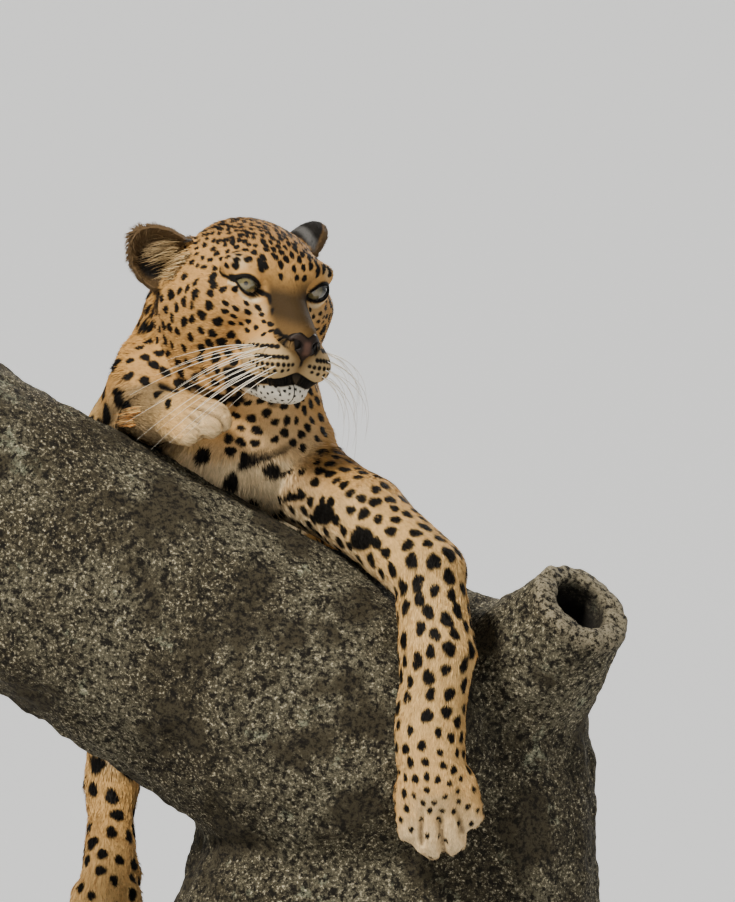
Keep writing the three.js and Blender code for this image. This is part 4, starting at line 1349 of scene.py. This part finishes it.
# Bark
bark = {
    "voxel": 0.0046, "smooth": 12, "inset": 0.004, "lumps": 0.0035, "rough": 0.0030,
    "dark": (0.005, 0.004, 0.0025), "brown": (0.045, 0.038, 0.022), "grey": (0.115, 0.107, 0.072),
    "pale": (0.52, 0.47, 0.33), "lichen": (0.17, 0.18, 0.125), "rim": (0.25, 0.22, 0.15),
    "stubRoot": (0.252, -0.296, 0.378), "stubFace": (0.326, -0.392, 0.461), "wood": (0.42, 0.29, 0.165),
    "sawn": [
        ((0.092, -0.300, 0.321), (-0.430, -0.310, 0.634)),
        ((0.008, -0.270, 0.430), (-0.046, 0.490, 0.450)),
    ],
}


def buildBark():
    wood = [n for n in nodes if n.startswith("perch")]
    mesh = fused(copyOf(wood, {"all": 0.001}), bark["voxel"])
    relax(mesh, bark["smooth"])
    inset(mesh, lambda co: np.full(len(co), bark["inset"]))
    co, n = coords(mesh), normals(mesh)
    rise = np.empty(len(co))
    for i, place in enumerate(co.tolist()):
        v = Vector(place)
        lumps, rough = noise.fractal(v * 9, 1.0, 2.0, 2), noise.fractal(v * 48, 0.9, 2.1, 3)
        rise[i] = bark["lumps"] * lumps + bark["rough"] * rough
    face, root = np.array(bark["stubFace"]), np.array(bark["stubRoot"])
    axis = (face - root) / np.linalg.norm(face - root)
    along = (co - face) @ axis
    away = norm(co - face - along[:, None] * axis)
    lip = step(away, 0.026, 0.032) * step(0.058 - away, 0, 0.008) * step(along, -0.022, -0.006)
    rise += 0.0035 * lip
    # the hollow in the stub's face is painted near black, as shade
    hollow = step(0.036 - away, 0, 0.006) * step(0.004 - along, 0, 0.010) * step(along, -0.09, -0.07)
    marks = np.zeros((len(co), 3))
    marks[:, 0] = lip * (1 - hollow)
    marks[:, 1] = hollow
    for start, end in bark["sawn"]:
        start, end = np.array(start), np.array(end)
        axis = (end - start) / np.linalg.norm(end - start)
        sawn = step(n @ axis, 0.75, 0.9) * step((co - end) @ axis, -0.014, -0.008)
        marks[:, 2] = np.maximum(marks[:, 2], sawn)
    rise *= 1 - 0.8 * marks[:, 2]
    setCoords(mesh, co + n * np.clip(rise, -0.005, 0.006)[:, None])
    paint(mesh, marks, "wood")
    return mesh


def barkMaterial():
    made, shader = newMaterial("barkWood", {"Roughness": 0.92, "Specular IOR Level": 0.25})
    tree = made.node_tree
    links = tree.links
    place = tree.nodes.new("ShaderNodeTexCoord").outputs["Object"]

    def grain(scale, detail, rough=0.6):
        node = tree.nodes.new("ShaderNodeTexNoise")
        setInputs(node, {"Scale": scale, "Detail": detail, "Roughness": rough})
        links.new(place, node.inputs["Vector"])
        return node.outputs["Fac"]

    def ramp(value, low, high):
        node = tree.nodes.new("ShaderNodeMapRange")
        node.interpolation_type = "SMOOTHSTEP"
        setInputs(node, {"From Min": low, "From Max": high})
        links.new(value, node.inputs["Value"])
        return node.outputs["Result"]

    def mix(below, above, amount):
        node = tree.nodes.new("ShaderNodeMix")
        node.data_type = "RGBA"
        for socket, value in (("A", below), ("B", above)):
            target = [i for i in node.inputs if i.name == socket and i.type == "RGBA"][0]
            if isinstance(value, tuple):
                target.default_value = (*value, 1)
            else:
                links.new(value, target)
        links.new(amount, node.inputs["Factor"])
        return [o for o in node.outputs if o.type == "RGBA"][0]

    marks = tree.nodes.new("ShaderNodeAttribute")
    marks.attribute_name = "wood"
    split = tree.nodes.new("ShaderNodeSeparateColor")
    links.new(marks.outputs["Color"], split.inputs["Color"])
    broad, fine, pits = grain(7, 4), grain(330, 5, 0.75), grain(150, 5, 0.72)
    colour = mix(bark["brown"], bark["grey"], ramp(broad, 0.38, 0.66))
    colour = mix(colour, bark["lichen"], ramp(grain(24, 5, 0.65), 0.60, 0.66))
    colour = mix(colour, bark["pale"], ramp(fine, 0.54, 0.64))
    colour = mix(colour, bark["brown"], ramp(grain(13, 5, 0.6), 0.50, 0.38))
    colour = mix(colour, bark["rim"], split.outputs["Red"])
    colour = mix(colour, bark["dark"], ramp(pits, 0.54, 0.40))
    colour = mix(colour, bark["dark"], ramp(fine, 0.48, 0.36))
    colour = mix(colour, bark["wood"], split.outputs["Blue"])
    # painted shade: near black inside the stub's hollow
    colour = mix(colour, (0.008, 0.007, 0.006), split.outputs["Green"])
    links.new(colour, shader.inputs["Base Color"])
    last = None
    for height, strength, distance in ((grain(60, 6, 0.7), 0.9, 0.006), (fine, 0.8, 0.0025)):
        raised = tree.nodes.new("ShaderNodeBump")
        setInputs(raised, {"Strength": strength, "Distance": distance})
        links.new(height, raised.inputs["Height"])
        if last:
            links.new(last, raised.inputs["Normal"])
        last = raised.outputs["Normal"]
    links.new(last, shader.inputs["Normal"])
    return made


def plainMaterial(name, colour, roughness, metallic=0.0):
    values = {"Base Color": (*colour, 1), "Roughness": roughness, "Metallic": metallic}
    return newMaterial(name, values)[0]


inset(skinMesh, skinInset)
surface = Surface(skinMesh)
unwrap(surface)
writeUnwrap(skinMesh, surface)
found = scatterSpots(surface)
report(f"{len(found['place'])} spots")
paint(skinMesh, coatColour(surface.co, surface.normal, found))
skinObject = shown(skinMesh, "skin", coatMaterial("coatUnder", 0.75, 0.5))
shadeSmooth(skinMesh)
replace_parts(skinObject, *[n for n in nodes if not n.startswith(("perch", "stand", "eye"))])
report("skin painted")
growCoat(surface, found, coatMaterial("coatTufts", 0.62))

for side, node in ((-1, "eye_right"), (1, "eye_left")):
    mesh = makeEye(side)
    mesh.name = "eyeRight" if side < 0 else "eyeLeft"
    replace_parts(shown(mesh, mesh.name, eyeMaterial), node)
tube("eyeRims", eyeRims(), plainMaterial("lidEdge", (0.006, 0.005, 0.0045), 0.3), surface)
tube("whiskers", whiskerRuns(), plainMaterial("whiskerHair", (0.82, 0.77, 0.66), 0.35), surface, 1)
noseMaterial = coatMaterial("noseSkin", 0.42, 0.4)
nosePad(surface, noseMaterial)
runs, tones = hairRuns()
strands("longHair", runs, longHair["width"], tones, coatMaterial("hair", 0.5), surface)
report("eyes, nose and whiskers")

barkMesh = buildBark()
shadeSmooth(barkMesh)
barkObject = shown(barkMesh, "bark", barkMaterial())
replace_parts(barkObject, *[n for n in nodes if n.startswith("perch")])
report(f"bark of {len(barkMesh.polygons)} faces")

# Stand: dark satin metal with softened edges
stand = {
    "colour": (0.022, 0.024, 0.027), "roughness": 0.42, "metallic": 0.6,
    "edge": 0.0014, "corner": math.radians(40), "sharp": math.radians(30),
}
standMaterial = plainMaterial("standMetal", stand["colour"], stand["roughness"], stand["metallic"])
for node in [n for n in nodes if n.startswith("stand")]:
    edit = bmesh.new()
    edit.from_mesh(nodes[node].data)
    bmesh.ops.remove_doubles(edit, verts=edit.verts, dist=1e-6)
    bmesh.ops.dissolve_limit(edit, angle_limit=math.radians(1), verts=edit.verts, edges=edit.edges)
    corners = [e for e in edit.edges if len(e.link_faces) == 2 and e.calc_face_angle() > stand["corner"]]
    bmesh.ops.bevel(
        edit, geom=corners, offset=stand["edge"], offset_type="OFFSET", segments=3,
        profile=0.5, affect="EDGES", clamp_overlap=True, material=-1,
    )
    mesh = meshFrom(edit, "made")
    pieceName = "piece" + "".join(word.capitalize() for word in node.split("_"))
    piece = shown(mesh, pieceName, standMaterial)
    shadeSmooth(mesh)
    mesh.set_sharp_from_angle(angle=stand["sharp"])
    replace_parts(piece, node)
report("stand")


# Light and room
def area(name, place, target, size, power, colour):
    data = bpy.data.lights.new(name, "AREA")
    data.size = size
    data.energy = power
    data.color = colour
    lamp = placed(name, data)
    lamp.location = place
    lamp.rotation_euler = (Vector(target) - Vector(place)).to_track_quat("-Z", "Y").to_euler()


room = {
    "half": 15, "height": 12, "floor": (0.80, 0.79, 0.77), "wall": (0.80, 0.80, 0.79),
    "roughness": 0.9, "wallGlow": 0.9, "sky": (0.93, 0.95, 0.96, 1), "skyPower": 0.30,
}


def makeRoom():
    def slab(name, corners, colour, glow):
        edit = bmesh.new()
        edit.faces.new([edit.verts.new(c) for c in corners])
        obj = placed(name, meshFrom(edit, name))
        obj.data.materials.append(newMaterial(name, {
            "Base Color": (*colour, 1), "Roughness": room["roughness"],
            "Emission Color": (*colour, 1), "Emission Strength": glow,
        })[0])

    s, h = room["half"], room["height"]
    slab("floor", [(-s, -s, 0), (s, -s, 0), (s, s, 0), (-s, s, 0)], room["floor"], 0)
    slab("backdrop", [(-s, s, 0), (s, s, 0), (s, s, h), (-s, s, h)], room["wall"], room["wallGlow"])
    world = bpy.data.worlds.new("world")
    world.use_nodes = True
    setInputs(world.node_tree.nodes["Background"], {"Color": room["sky"], "Strength": room["skyPower"]})
    bpy.context.scene.world = world


area("key", (-1.8, -3.2, 3.8), (0, -0.3, 0.6), 0.8, 410, (1, 0.93, 0.82))
area("fill", (3.2, -2.6, 1.4), (0, -0.1, 0.5), 2.4, 10, (0.92, 0.96, 1))
area("rim", (1.6, 2.6, 3.2), (0, 0, 0.6), 1.4, 130, (1, 0.97, 0.92))
makeRoom()
